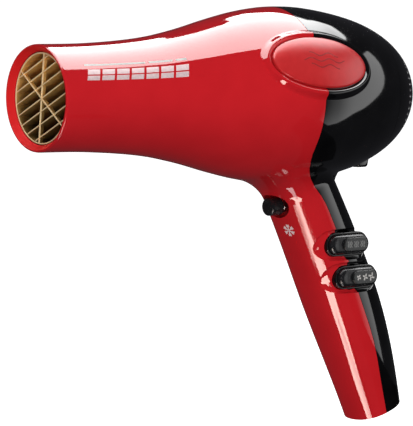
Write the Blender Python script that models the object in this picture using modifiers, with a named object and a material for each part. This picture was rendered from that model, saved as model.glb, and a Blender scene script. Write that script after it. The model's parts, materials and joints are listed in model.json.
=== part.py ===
"""Full-size hair dryer: two housings, outlet grille, heater, motor and fan, switches and a filter cover.

All driving dimensions are in millimetres in the dryer's design axes: the barrel's axis is X, with the
outlet at x = 0 and the intake at the +X end, Z is up, and the handle hangs down.  Everything hangs on one
empty that puts the middle of the whole dryer at the world origin.
"""
import math

import bmesh
import bpy
import numpy as np
from mathutils import Matrix, Vector

MM = 0.001
GAP = 0.3                       # between pieces that touch
OFF_PLANE = math.radians(5.0)   # turns round cutters so that no edge lies in the plane of symmetry
CENTRE = (121.95, 0.0, -66.69)

# Barrel: outer radius along the axis
BARREL = [(-20, 26.5), (0, 26.5), (20, 26.7), (39, 27.6), (64, 29.9), (90, 34.9), (111, 40.4), (132, 44.9),
          (149, 46.8), (160, 46.9), (175, 45.6), (190, 43.2), (203, 40.2), (215, 35.8), (226, 29.6),
          (234.5, 22.0), (240.5, 13.6), (244, 0.3)]
WALL = 2.2
MOUTH_START = 2.0               # where the rounded lip begins
MOUTH_LIP = [(0.9, 26.4), (0.2, 26.1), (0.0, 25.7)]
MOUTH_EDGE = 25.0               # inner radius of the flat ring at the very front
MOUTH_CONE = 3.2                # depth over which the lip slopes in to the bore
MOUTH_BORE = 22.9
MOUTH_DEPTH = 12.0              # where the straight bore ends
MOUTH_BACK = 7.5                # where the housing's hollow begins behind it
REAR_OPENING = 210.0

# Handle: half length along X and half width along Y at each height, and its leaning centre line
HANDLE_LENGTH = [(-200, 13.6), (-176, 16.4), (-160, 18.4), (-144, 20.6), (-110, 23.3), (-70, 22.3),
                 (-40, 21.4), (20, 24.0)]
HANDLE_WIDTH = [(-200, 13.0), (-176, 14.6), (-160, 15.8), (-144, 16.8), (-110, 18.0), (-70, 18.4),
                (20, 18.6)]
HANDLE_POWER = 2.3              # 2 is an ellipse, more is squarer
HANDLE_TOP = -15.0
FILLET_FRONT, FILLET_REAR = 12.0, 2.0
LEAN = math.radians(23.0)
END_TILT = math.radians(18.5)
END_POINT = (226.0, -175.3)     # a point (x, z) of the handle's end face
END_WALL = 2.6

# Cord gland in the end face, and the clamp above it with its two screws
GLAND_X = 224.4
GLAND_RADIUS, GLAND_BORE, GLAND_FLANGE, GLAND_FLANGE_THICK = 6.4, 4.0, 8.4, 2.0
CLAMP_SIZE = (12.0, 20.0, 3.0)
CLAMP_INSET = 10.5              # from the end face to the clamp's middle
CLAMP_BORE = 4.2
CLAMP_SCREW_Y, CLAMP_SCREW_BORE = 7.3, 1.3

# Seam between the front and the rear housing: x at each height
SEAM = [(-195, 229.5), (-161, 218.8), (-135, 211.0), (-110, 199.8), (-88, 190.2), (-70, 180.6),
        (-56.4, 173.0), (-45, 162.5), (-34, 150.9), (-28, 148.6), (-20, 148.4), (70, 148.4)]

# Oval badge on each side
BADGE_X = 148.3                 # x of its middle
BADGE_HALF = (29.7, 13.7)
BADGE_TILT = math.radians(-5.6)
BADGE_FACE = math.radians(22.0) # how far its face looks up
# Section of the collar as (outward from the badge's edge, height above the barrel)
COLLAR = [(0.45, -1.2), (0.45, 0.7), (1.4, 1.55), (2.7, 2.15), (4.1, 1.3), (5.1, 0.36), (6.6, -0.4),
          (6.6, -1.3)]
# Section of the badge as (share of its half width, height above the barrel)
PLATE = [(0.0, 2.9), (0.55, 2.8), (0.86, 2.6), (0.97, 2.2), (1.0, 1.6), (1.0, 0.45), (0.62, 0.45),
         (0.3, 0.45), (0.0, 0.45)]

# Outlet grille
GRILLE_FRONT, GRILLE_DEPTH = 3.4, 9.0
GRILLE_RADIUS = MOUTH_BORE - GAP
BLADE_COUNT, BLADE_PITCH, BLADE_THICK = 7, 5.6, 0.8
BLADE_ANGLE = math.radians(24.0)
BAR_ANGLES = (math.radians(37.0), math.radians(-84.0))
BAR_DEEP, BAR_THICK = 1.6, 0.7
RING_WALL = 1.0

# Filter cover over the intake
COVER_START = REAR_OPENING + GAP
COVER_WALL = 2.0
COVER_SLOT_RINGS = [(11.9, 8, 6.0), (24.4, 16, 9.0)]      # ring radius, number of slots, slot length
COVER_SLOT_WIDTH = 1.8
COVER_SKIRT = [(214.5, 32.9), (206.3, 33.1), (206.3, 34.4), (COVER_START, 34.4)]
LATCH_SIZE = (9.6, 8.0, 7.2)
LATCH_AT = (215.3, 0.0, -36.8)

# Cool-shot button on the front of the handle
COOL_Z = -59.5
COOL_FACE = 148.4
COOL_RADIUS = 4.85
COOL_STROKE = 2.5
COOL_FLOOR = 161.0
COOL_BORE = 6.3
COOL_CUP_WALL = 2.0
COOL_MOUTH_X, COOL_MOUTH = 150.0, 12.5      # the well's mouth is an oval this wide at this x
COOL_CAP_END, COOL_STEM_END, COOL_STEM = 156.6, 167.0, 1.7
COOL_STEM_HOLE = 2.5

# The two rockers on the -Y side of the handle: name, middle (x, z)
ROCKERS = [("heat", 190.6, -80.4), ("speed", 197.2, -98.6)]
ROCKER_LENGTH, ROCKER_HEIGHT = 27.2, 10.4
ROCKER_FACE, ROCKER_BACK = -21.2, -13.2
ROCKER_ROOM, ROCKER_SIDE_ROOM = 0.8, 0.4    # at its ends, which swing, and at its sides
BEZEL_RIM = 0.7
BEZEL_FACE, BEZEL_BACK, BEZEL_FLOOR = -17.4, -9.4, 1.4
# Shallow dish in the housing round a rocker: extra length and height, shift along X, and (inset, y) rings
DISH_EXTRA, DISH_SHIFT = (10.5, 5.4), -2.2
DISH_RINGS = [(-1.6, -26.0), (-1.6, -19.5), (0.0, -17.35), (0.9, -17.1)]
SWITCH_BLOCK, SWITCH_TAB = (19.0, 8.0, 9.0), (3.0, 4.5, 0.7)
SWITCH_SHIFT, SWITCH_TAB_PITCH = -1.0, 6.0

# Screws in the rear of the handle: x and z on the handle's centre line
SCREWS = [(206.3, -127.5), (217.0, -153.0)]
POST_RADIUS, SCREW_WELL, SCREW_WELL_FLOOR, SCREW_HOLE = 4.6, 3.3, -7.0, 1.7

# Motor and fan
SHAFT_START, SHAFT_END, SHAFT_RADIUS = 123.0, 198.0, 2.0
BORE = SHAFT_RADIUS + GAP
MOTOR_RADIUS = 17.4
BEARING_RADIUS, BEARING_LENGTH, BEARING_STARTS = 5.6, 4.0, (126.0, 173.0)
BRUSH_SIZE, BRUSH_AT = (5.0, 8.6, 4.0), (164.4, 10.4)
DUCT_RING, DUCT_RADIUS, DUCT_WALL = (138.0, 173.0), 41.7, 1.5
SLEEVE, SLEEVE_RADIUS = (132.0, 164.0), 17.7
VANE_COUNT, VANE_SIZE, VANE_AT = 7, (20.0, 1.4, 22.6), (152.0, 0.0, 29.7)
FAN_X, FAN_COUNT, FAN_ROOT, FAN_TIP, FAN_THICK = 188.5, 9, 10.5, 36.8, 1.3
FAN_CHORD, FAN_CHORD_GROWTH = 7.44, 4.34    # at the root, and how much more at the tip
FAN_PITCH, FAN_TWIST = 52.0, 24.0           # degrees at the root, and how many fewer at the tip
FAN_HUB = [(180.0, 0), (180.0, 12.0), (193, 12.0), (197.0, 9.0), (200.5, 0)]

# Heater
HEATER_START, HEATER_END = 24.0, 106.0
TUBE_RADIUS, TUBE_WALL = 23.6, 0.6
BOARD_HALF = 18.6
BOARD_THICK = 0.8
COILS = [(30, 60), (66, 96)]
COIL_STANDOFF, COIL_TURNS, COIL_WIRE = 1.6, 4.0, 0.5
THERMOSTAT_SIZE, THERMOSTAT_AT = (9.0, 6.0, 3.4), (88.0, 8.5)
FUSE_RADIUS, FUSE_AT = 1.6, (74.0, 84.0, -8.0)


def curve_through(stations):
    """Smooth function through (position, value) stations that never overshoots between them."""
    xs, ys = (np.array(c, float) for c in zip(*stations))
    step = np.diff(xs)
    slope = np.diff(ys) / step
    tangent = np.zeros_like(ys)
    for i in range(1, len(xs) - 1):
        if slope[i - 1] * slope[i] > 0:
            w1, w2 = 2 * step[i] + step[i - 1], step[i] + 2 * step[i - 1]
            tangent[i] = (w1 + w2) / (w1 / slope[i - 1] + w2 / slope[i])
    tangent[0], tangent[-1] = slope[0], slope[-1]

    def value(x):
        x = np.clip(x, xs[0], xs[-1])
        i = np.clip(np.searchsorted(xs, x, side="right") - 1, 0, len(xs) - 2)
        t = (x - xs[i]) / step[i]
        return ((1 + 2 * t) * (1 - t) ** 2 * ys[i] + t * (1 - t) ** 2 * step[i] * tangent[i]
                + t * t * (3 - 2 * t) * ys[i + 1] + t * t * (t - 1) * step[i] * tangent[i + 1])
    return value


barrel_radius = curve_through(BARREL)
handle_half_length = curve_through(HANDLE_LENGTH)
handle_half_width = curve_through(HANDLE_WIDTH)
seam_x = curve_through(SEAM)


def handle_centre(z):
    """x of the handle's centre line at height z: a straight lean with a slight bow."""
    t = (-z - 70) / 103.0
    return 181.3 + 43.4 * t + 9.4 * t * (1 - t)


def housing_field(p):
    """Distance from the housing's outer surface, below zero inside it: barrel, handle and a soft fillet."""
    x, y, z = p[:, 0], p[:, 1], p[:, 2]
    barrel = np.hypot(y, z) - barrel_radius(x)
    a, b = handle_half_length(z), handle_half_width(z)
    section = (np.abs((x - handle_centre(z)) / a) ** HANDLE_POWER + np.abs(y / b) ** HANDLE_POWER)
    handle = (section ** (1 / HANDLE_POWER) - 1) * np.minimum(a, b) * 0.95
    handle = np.maximum(handle, z - HANDLE_TOP)
    across = np.clip((x - handle_centre(np.clip(z, -90, -30))) / 40 + 0.5, 0, 1)
    fillet = FILLET_FRONT * (1 - across) + FILLET_REAR * across
    h = np.clip(0.5 + 0.5 * (handle - barrel) / fillet, 0, 1)
    return handle * (1 - h) + barrel * h - fillet * h * (1 - h)


def field_gradient(p):
    """Numerical gradient of housing_field."""
    step = 0.05
    columns = [(housing_field(p + step * e) - housing_field(p - step * e)) / (2 * step) for e in np.eye(3)]
    return np.stack(columns, 1)


def end_height(x, inset=0.0):
    """z of the handle's tilted end face at x, moved in by inset."""
    return END_POINT[1] + (x - END_POINT[0]) * math.tan(END_TILT) + inset / math.cos(END_TILT)


# ---------------------------------------------------------------- scene helpers

def new_collection(name):
    collection = bpy.data.collections.new(name)
    bpy.context.scene.collection.children.link(collection)
    return collection


def principled(name, colour, roughness, metallic=0.0):
    material = bpy.data.materials.new(name)
    material.use_nodes = True
    shader = material.node_tree.nodes["Principled BSDF"]
    shader.inputs["Base Color"].default_value = (*colour, 1.0)
    shader.inputs["Roughness"].default_value = roughness
    shader.inputs["Metallic"].default_value = metallic
    return material


def add(name, bm, material=None, origin=(0, 0, 0)):
    """Object from a bmesh whose points are design millimetres, with its origin at the given design point."""
    bmesh.ops.recalc_face_normals(bm, faces=bm.faces)
    mesh = bpy.data.meshes.new(name)
    bmesh.ops.transform(bm, matrix=Matrix.Scale(MM, 4) @ Matrix.Translation(-Vector(origin)), verts=bm.verts)
    bm.to_mesh(mesh)
    bm.free()
    obj = bpy.data.objects.new(name, mesh)
    obj.location = Vector(origin) * MM
    parts.objects.link(obj)
    obj.parent = frame
    if material:
        mesh.materials.append(material)
    return obj


def smooth(obj, angle=35.0):
    obj.data.shade_smooth()
    obj.data.set_sharp_from_angle(angle=math.radians(angle))
    return obj


def bake(obj):
    """Applies an object's modifiers to its mesh."""
    bpy.context.view_layer.update()
    evaluated = obj.evaluated_get(bpy.context.evaluated_depsgraph_get())
    mesh = bpy.data.meshes.new_from_object(evaluated)
    obj.modifiers.clear()
    obj.data = mesh
    return obj


def tidy_mesh(mesh):
    """Merges the points that a cut leaves closer than a micrometre."""
    bm = bmesh.new()
    bm.from_mesh(mesh)
    bmesh.ops.remove_doubles(bm, verts=bm.verts, dist=1e-6)
    bmesh.ops.dissolve_degenerate(bm, edges=bm.edges, dist=1e-6)
    bm.to_mesh(mesh)
    bm.free()


def boolean(obj, tool, operation, keep_tool=False):
    """Cuts, joins or intersects obj with tool, and removes the tool."""
    modifier = obj.modifiers.new(operation.lower(), "BOOLEAN")
    modifier.operation = operation
    modifier.solver = "EXACT"
    modifier.object = tool
    bake(obj)
    tidy_mesh(obj.data)
    if not keep_tool:
        bpy.data.objects.remove(tool)
    return obj


def copy_of(obj, name):
    twin = bpy.data.objects.new(name, obj.data.copy())
    twin.location = obj.location
    parts.objects.link(twin)
    twin.parent = frame
    return twin


def rounded(obj, width, segments=2, angle=40.0):
    bevel = obj.modifiers.new("rounded_edges", "BEVEL")
    bevel.width = width * MM
    bevel.segments = segments
    bevel.limit_method = "ANGLE"
    bevel.angle_limit = math.radians(angle)
    return smooth(bake(obj))


# ---------------------------------------------------------------- basic shapes, in design millimetres

def box_mesh(size, at, turn=None):
    bm = bmesh.new()
    bmesh.ops.create_cube(bm, size=1.0)
    bmesh.ops.scale(bm, vec=size, verts=bm.verts)
    if turn:
        bmesh.ops.transform(bm, matrix=turn, verts=bm.verts)
    bmesh.ops.translate(bm, vec=at, verts=bm.verts)
    return bm


def turned_mesh(profile, steps=32, axis_point=(0, 0, 0), direction=None, phase=0.0):
    """Closed profile of (along, radius) points spun round an axis: X unless a direction is given."""
    bm = bmesh.new()
    verts = [bm.verts.new((along, 0, radius)) for along, radius in profile]
    edges = [bm.edges.new((verts[i], verts[i - 1])) for i in range(len(verts))]
    if profile[0][1] < 1e-6 and profile[-1][1] < 1e-6:
        bm.edges.remove(edges[0])
        edges = edges[1:]
    bmesh.ops.spin(bm, geom=verts + edges, cent=(0, 0, 0), axis=(1, 0, 0), angle=2 * math.pi, steps=steps,
                   use_merge=True)
    bmesh.ops.remove_doubles(bm, verts=bm.verts, dist=1e-4)
    bmesh.ops.rotate(bm, cent=(0, 0, 0), matrix=Matrix.Rotation(phase, 3, "X"), verts=bm.verts)
    if direction is not None:
        turn = Vector((1, 0, 0)).rotation_difference(Vector(direction)).to_matrix().to_4x4()
        bmesh.ops.transform(bm, matrix=turn, verts=bm.verts)
    bmesh.ops.translate(bm, vec=axis_point, verts=bm.verts)
    return bm


def rod_profile(start, end, radius, inner=0.0):
    return [(start, inner), (start, radius), (end, radius), (end, inner)]


def pill_mesh(length, height, near, far, at, steps=8):
    """Pill outline in the XZ plane, length along X, extruded in Y from near to far, about at = (x, z)."""
    bm = bmesh.new()
    outline = pill_outline(length, height, 0.0, at, steps)
    face = bm.faces.new([bm.verts.new((x, near, z)) for x, z in outline])
    made = bmesh.ops.extrude_face_region(bm, geom=[face])
    moved = [v for v in made["geom"] if isinstance(v, bmesh.types.BMVert)]
    bmesh.ops.translate(bm, vec=(0, far - near, 0), verts=moved)
    return bm


def wire(name, points, radius, material, resolution=1):
    """Round wire through points, as a closed mesh."""
    curve = bpy.data.curves.new(name, "CURVE")
    curve.dimensions = "3D"
    curve.bevel_depth = radius * MM
    curve.bevel_resolution = resolution
    curve.use_fill_caps = True
    spline = curve.splines.new("POLY")
    spline.points.add(len(points) - 1)
    for point, place in zip(spline.points, points):
        point.co = (*(c * MM for c in place), 1.0)
    holder = bpy.data.objects.new(name + "_curve", curve)
    parts.objects.link(holder)
    bpy.context.view_layer.update()
    mesh = bpy.data.meshes.new_from_object(holder.evaluated_get(bpy.context.evaluated_depsgraph_get()))
    bpy.data.objects.remove(holder)
    bm = bmesh.new()
    bm.from_mesh(mesh)
    bpy.data.meshes.remove(mesh)
    bmesh.ops.remove_doubles(bm, verts=bm.verts, dist=1e-6)
    bmesh.ops.scale(bm, vec=(1 / MM,) * 3, verts=bm.verts)
    return smooth(add(name, bm, material))


def helix(start, end, radius, turns, per_turn, phase=0.0, centre=(0.0, 0.0)):
    """Points of a helix along X."""
    count = int(turns * per_turn)
    return [(start + (end - start) * k / count,
             centre[0] + radius * math.sin(2 * math.pi * k / per_turn + phase),
             centre[1] + radius * math.cos(2 * math.pi * k / per_turn + phase)) for k in range(count + 1)]


# ---------------------------------------------------------------- housing skin

CAGE_RING = 16
HOLE_SIDE = (6, 10)             # cage points round the ring between which the handle leaves
BODY_STATIONS = [24, 48, 70, 92, 113, 132, 147, 161, 175, 190, 200]
HOLE_STATIONS = (5, 9)          # stations between which the handle leaves, counted without the first
HANDLE_STATIONS = [-47, -57, -74, -98, -124, -150]


def cage_point(x, k):
    turn = 2 * math.pi * k / CAGE_RING
    radius = float(barrel_radius(x))
    return x, radius * math.sin(turn), radius * math.cos(turn)


def handle_point(z, turn):
    """Point of the handle's section at height z; turn is measured from its front, towards +Y."""
    c, s = math.cos(turn), math.sin(turn)
    power = 2 / HANDLE_POWER
    x = handle_centre(z) - float(handle_half_length(z)) * math.copysign(abs(c) ** power, c)
    return x, float(handle_half_width(z)) * math.copysign(abs(s) ** power, s), z


def handle_end_point(turn, inset):
    z = END_POINT[1]
    for _ in range(8):
        z = end_height(handle_point(z, turn)[0], inset)
    return handle_point(z, turn)


def housing_cage(front, rear, inset):
    """Coarse open cage: rings along the barrel, a square hole underneath, and rings down the handle."""
    bm = bmesh.new()
    stations = [front, *BODY_STATIONS, rear]
    rings = [[bm.verts.new(cage_point(x, k)) for k in range(CAGE_RING)] for x in stations]
    low, high = HOLE_SIDE
    first, last = HOLE_STATIONS[0] + 1, HOLE_STATIONS[1] + 1
    for i in range(len(stations) - 1):
        for k in range(CAGE_RING):
            if first <= i < last and low <= k < high:
                continue
            n = (k + 1) % CAGE_RING
            bm.faces.new((rings[i][k], rings[i][n], rings[i + 1][n], rings[i + 1][k]))
    across = list(range(low, high + 1))
    loop = [rings[first][k] for k in across]
    loop += [rings[i][high] for i in range(first + 1, last + 1)]
    loop += [rings[last][k] for k in reversed(across[:-1])]
    loop += [rings[i][low] for i in range(last - 1, first, -1)]
    turns = [math.pi / 4 - 2 * math.pi * j / CAGE_RING for j in range(CAGE_RING)]
    levels = [[handle_point(z, t) for t in turns] for z in HANDLE_STATIONS]
    levels.append([handle_end_point(t, inset) for t in turns])
    for level in levels:
        ring = [bm.verts.new(p) for p in level]
        for j in range(CAGE_RING):
            n = (j + 1) % CAGE_RING
            bm.faces.new((loop[j], loop[n], ring[n], ring[j]))
        loop = ring
    return bm


def settle(points, offset, fixed_x, on_end):
    """Moves points onto the housing surface, offset outwards. Ends stay in their planes."""
    normal = np.array([math.sin(END_TILT), 0, -math.cos(END_TILT)])
    for _ in range(7):
        value = housing_field(points) - offset
        gradient = field_gradient(points)
        gradient[fixed_x, 0] = 0
        gradient[on_end] -= np.outer(gradient[on_end] @ normal, normal)
        points -= gradient * (value / np.maximum((gradient ** 2).sum(1), 1e-6))[:, None]
    return points


def housing_skin(name, front, rear, offset, inset, levels=1):
    """Closed solid bounded by the housing surface, offset outwards, between two planes across the barrel."""
    obj = add(name, housing_cage(front, rear, inset))
    if levels:
        subdivision = obj.modifiers.new("subdivision", "SUBSURF")
        subdivision.levels = subdivision.render_levels = levels
        bake(obj)
    bm = bmesh.new()
    bm.from_mesh(obj.data)
    bpy.data.objects.remove(obj)
    bmesh.ops.scale(bm, vec=(1 / MM,) * 3, verts=bm.verts)
    bmesh.ops.delete(bm, geom=[v for v in bm.verts if not v.link_faces], context="VERTS")
    points = np.array([v.co for v in bm.verts], float)
    edge = np.array([v.is_boundary for v in bm.verts])
    flat = edge & ((points[:, 0] < front + 1) | (np.abs(points[:, 0] - rear) < 1)) & (points[:, 2] > -100)
    on_end = edge & ~flat
    points = settle(points, offset, flat, on_end)
    for vert, place in zip(bm.verts, points):
        vert.co = place
    bmesh.ops.holes_fill(bm, edges=[e for e in bm.edges if e.is_boundary], sides=0)
    return bm


def round_the_mouth(bm):
    """Carries the flat front of the skin forward through the rings of the rounded lip."""
    front = max((f for f in bm.faces if f.normal.x < -0.9), key=lambda f: len(f.verts))
    for along, radius in MOUTH_LIP:
        bmesh.ops.inset_region(bm, faces=[front], thickness=0.2, use_even_offset=True)
        for vert in front.verts:
            out = math.hypot(vert.co.y, vert.co.z)
            vert.co = (along, vert.co.y * radius / out, vert.co.z * radius / out)


# ---------------------------------------------------------------- badge and its collar

def badge_axes(side):
    """Axes of the badge plane on one side: along the oval, across it, and outwards."""
    normal = Vector((0, side * math.cos(BADGE_FACE), math.sin(BADGE_FACE)))
    along = Vector((1, 0, 0))
    across = Vector((0, -side * math.sin(BADGE_FACE), math.cos(BADGE_FACE)))
    c, s = math.cos(BADGE_TILT), math.sin(BADGE_TILT)
    return along * c + across * s, across * c - along * s, normal


def on_barrel(point, normal, height):
    """Where a line along normal through point reaches the barrel's surface raised by height."""
    reach = float(barrel_radius(point.x)) + height
    dot = point.y * normal.y + point.z * normal.z
    inside = reach ** 2 - point.y ** 2 - point.z ** 2 + dot ** 2
    return point + normal * (math.sqrt(inside) - dot)


def badge_point(side, half, turn, height):
    along, across, normal = badge_axes(side)
    flat = Vector((BADGE_X, 0, 0)) + along * half[0] * math.cos(turn) + across * half[1] * math.sin(turn)
    return on_barrel(flat, normal, height)


def collar_mesh(side, steps=36):
    """Raised ring round the badge, with its foot inside the housing's wall."""
    bm = bmesh.new()
    rings = []
    for outward, height in COLLAR:
        half = (BADGE_HALF[0] + outward, BADGE_HALF[1] + outward)
        turns = [2 * math.pi * k / steps for k in range(steps)]
        rings.append([bm.verts.new(badge_point(side, half, turn, height)) for turn in turns])
    for i, ring in enumerate(rings):
        before = rings[i - 1]
        for k in range(steps):
            n = (k + 1) % steps
            bm.faces.new((before[k], before[n], ring[n], ring[k]))
    return bm


def plate_mesh(side, steps=36):
    """The badge: a thin oval plate that follows the barrel."""
    bm = bmesh.new()
    rings = []
    for share, height in PLATE:
        if share == 0:
            rings.append([bm.verts.new(badge_point(side, (0, 0), 0, height))])
            continue
        half = (BADGE_HALF[0] * share, BADGE_HALF[1] * share)
        turns = [2 * math.pi * k / steps for k in range(steps)]
        rings.append([bm.verts.new(badge_point(side, half, turn, height)) for turn in turns])
    for before, ring in zip(rings, rings[1:]):
        for k in range(steps):
            n = (k + 1) % steps
            inner = [before[k % len(before)], before[n % len(before)]]
            outer = [ring[n % len(ring)], ring[k % len(ring)]]
            bm.faces.new(list(dict.fromkeys(inner + outer)))
    return bm


# ---------------------------------------------------------------- housings

def seam_prism(name, side):
    """Everything ahead of the seam (side -1) or behind it (side +1), as a thick plate in the XZ plane."""
    heights = [70, -20, -28, -34, -40, -46, -52, -58, -66, -76, -88, -100, -112, -124, -136, -150, -164,
               -178, -195]
    outline = [(float(seam_x(z)) + side * GAP / 2, z) for z in heights]
    far = -30 if side < 0 else 275
    outline += [(far, heights[-1]), (far, heights[0])]
    bm = bmesh.new()
    face = bm.faces.new([bm.verts.new((x, -70, z)) for x, z in outline])
    made = bmesh.ops.extrude_face_region(bm, geom=[face])
    moved = [v for v in made["geom"] if isinstance(v, bmesh.types.BMVert)]
    bmesh.ops.translate(bm, vec=(0, 140, 0), verts=moved)
    return add(name, bm)


def cool_shot_cup():
    """Solid block round the cool-shot button's well, still uncut."""
    profile = rod_profile(136, COOL_FLOOR + WALL, COOL_BORE + COOL_CUP_WALL)
    return add("cup", turned_mesh(profile, 20, (0, 0, COOL_Z), phase=OFF_PLANE))


def cool_shot_well():
    """Cutter for the well: an oval mouth that narrows to the round bore."""
    profile = [(130, 0), (130, COOL_MOUTH), (COOL_MOUTH_X, COOL_MOUTH), (COOL_FLOOR, COOL_BORE),
               (COOL_FLOOR, 0)]
    bm = turned_mesh(profile, 20, phase=OFF_PLANE)
    for vert in bm.verts:
        if vert.co.x < COOL_MOUTH_X + 1:
            vert.co.z *= COOL_BORE / COOL_MOUTH
    bmesh.ops.translate(bm, vec=(0, 0, COOL_Z), verts=bm.verts)
    return add("well", bm)


def pill_outline(length, height, inset, at, steps):
    """Points (x, z) of a pill-shaped outline, moved in by inset."""
    radius = height / 2
    reach = length / 2 - radius
    outline = []
    for side in (1, -1):
        for k in range(steps + 1):
            turn = math.pi * k / steps - math.pi / 2
            outline.append((at[0] + side * (reach + (radius - inset) * math.cos(turn)),
                            at[1] + side * (radius - inset) * math.sin(turn)))
    return outline


def rocker_dish(x, z):
    """Cutter for the shallow dish round a rocker's front end."""
    bm = bmesh.new()
    rings = []
    for inset, y in DISH_RINGS:
        outline = pill_outline(ROCKER_LENGTH + DISH_EXTRA[0], ROCKER_HEIGHT + DISH_EXTRA[1], inset,
                               (x + DISH_SHIFT, z), 8)
        rings.append([bm.verts.new((px, y, pz)) for px, pz in outline])
    bm.faces.new(rings[0])
    bm.faces.new(rings[-1])
    for low, high in zip(rings, rings[1:]):
        for k in range(len(low)):
            n = (k + 1) % len(low)
            bm.faces.new((low[k], low[n], high[n], high[k]))
    return add("dish", bm)


def bezel_inner():
    """Length and height of the opening a rocker swings in."""
    return ROCKER_LENGTH + 2 * ROCKER_ROOM, ROCKER_HEIGHT + 2 * ROCKER_SIDE_ROOM


def bezel_outer(margin=0.0):
    """Length and height of the bezel's outline, or of its pocket when a margin is added."""
    return tuple(size + 2 * (BEZEL_RIM + margin) for size in bezel_inner())


def screw_direction():
    return Vector((-math.cos(LEAN), 0, -math.sin(LEAN)))


def make_housings():
    skin = housing_skin("outer", MOUTH_START, REAR_OPENING, 0.0, 0.0)
    skin.normal_update()
    round_the_mouth(skin)
    shell = add("shell", skin)
    inner = add("inner", housing_skin("inner", MOUTH_BACK, REAR_OPENING + 5, -WALL, END_WALL, 0))
    core = add("core", housing_skin("core", MOUTH_START + 2.0, REAR_OPENING - 2.0, -WALL / 2, END_WALL / 2))
    for side in (-1, 1):
        boolean(shell, add("collar", collar_mesh(side)), "UNION")
    boolean(shell, inner, "DIFFERENCE")

    cup = boolean(cool_shot_cup(), core, "INTERSECT", keep_tool=True)
    boolean(shell, cup, "UNION")
    for x, z in SCREWS:
        bm = turned_mesh(rod_profile(-30, 30, POST_RADIUS), 12, (x, 0, z), screw_direction(), OFF_PLANE)
        post = boolean(add("post", bm), core, "INTERSECT", keep_tool=True)
        boolean(shell, post, "UNION")
    bpy.data.objects.remove(core)

    mouth = [(-5, 0), (-5, MOUTH_EDGE), (0.05, MOUTH_EDGE), (MOUTH_CONE, MOUTH_BORE),
             (MOUTH_DEPTH, MOUTH_BORE), (MOUTH_DEPTH, 0)]
    boolean(shell, add("mouth", turned_mesh(mouth, 32)), "DIFFERENCE")
    boolean(shell, cool_shot_well(), "DIFFERENCE")
    stem_hole = turned_mesh(rod_profile(150, 175, COOL_STEM_HOLE), 12, (0, 0, COOL_Z), phase=OFF_PLANE)
    boolean(shell, add("stem_hole", stem_hole), "DIFFERENCE")
    for _, x, z in ROCKERS:
        boolean(shell, rocker_dish(x, z), "DIFFERENCE")
        boolean(shell, add("pocket", pill_mesh(*bezel_outer(GAP), -40, -9.0, (x, z))), "DIFFERENCE")
    for x, z in SCREWS:
        way = screw_direction()
        start = Vector((x, 0, z))
        well = turned_mesh(rod_profile(-40, SCREW_WELL_FLOOR, SCREW_WELL), 12, start, way, OFF_PLANE)
        boolean(shell, add("screw_well", well), "DIFFERENCE")
        hole = turned_mesh(rod_profile(-12, 9.0, SCREW_HOLE), 10, start, way, OFF_PLANE)
        boolean(shell, add("screw_hole", hole), "DIFFERENCE")
    hole = turned_mesh(rod_profile(-10, 10, GLAND_RADIUS + GAP), 20, gland_place(), end_normal(), OFF_PLANE)
    boolean(shell, add("gland_hole", hole), "DIFFERENCE")

    for name, side, material in (("front_housing", -1, RED), ("rear_housing", 1, BLACK)):
        half = copy_of(shell, name)
        boolean(half, seam_prism("prism", side), "INTERSECT")
        half.data.materials.clear()
        half.data.materials.append(material)
        smooth(half, 30)
    bpy.data.objects.remove(shell)


def end_normal():
    return Vector((math.sin(END_TILT), 0, -math.cos(END_TILT)))


def gland_place():
    """Middle of the handle's end face."""
    return Vector((GLAND_X, 0, end_height(GLAND_X)))


def make_screws():
    """Housing screws: (along, radius) from the head's top to the blunt point."""
    profile = [(-9.6, 0), (-9.6, 2.3), (-9.0, 2.8), (-7.3, 2.8), (-7.3, 1.35), (7.5, 1.35), (8.4, 0.5),
               (8.4, 0)]
    for number, (x, z) in enumerate(SCREWS, 1):
        bm = turned_mesh(profile, 12, (x, 0, z), screw_direction())
        smooth(add(f"housing_screw_{number}", bm, STEEL, (x, 0, z)))


def make_gland_and_clamp():
    inside = -END_WALL - GAP
    flange = inside - GLAND_FLANGE_THICK
    profile = [(flange, GLAND_BORE), (flange, GLAND_FLANGE), (inside, GLAND_FLANGE), (inside, GLAND_RADIUS),
               (-0.4, GLAND_RADIUS), (0.0, GLAND_RADIUS - 0.4), (0.0, GLAND_BORE)]
    smooth(add("cord_gland", turned_mesh(profile, 24, gland_place(), end_normal()), RUBBER))
    middle = gland_place() - end_normal() * CLAMP_INSET
    turn = Matrix.Rotation(-END_TILT, 4, "Y")
    clamp = add("cord_clamp", box_mesh(CLAMP_SIZE, middle, turn), NYLON)
    bore = turned_mesh(rod_profile(-6, 6, CLAMP_BORE), 16, middle, end_normal())
    boolean(clamp, add("hole", bore), "DIFFERENCE")
    screw = [(-3.4, 0), (-3.4, 1.8), (-1.8, 1.9), (-1.8, 1.0), (3.2, 1.0), (3.2, 0)]
    for number, side in enumerate((-1, 1), 1):
        at = middle + Vector((0, side * CLAMP_SCREW_Y, 0))
        hole = turned_mesh(rod_profile(-6, 6, CLAMP_SCREW_BORE), 12, at, end_normal())
        boolean(clamp, add("hole", hole), "DIFFERENCE")
        smooth(add(f"clamp_screw_{number}", turned_mesh(screw, 12, at, end_normal()), STEEL))
    smooth(clamp)


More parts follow.
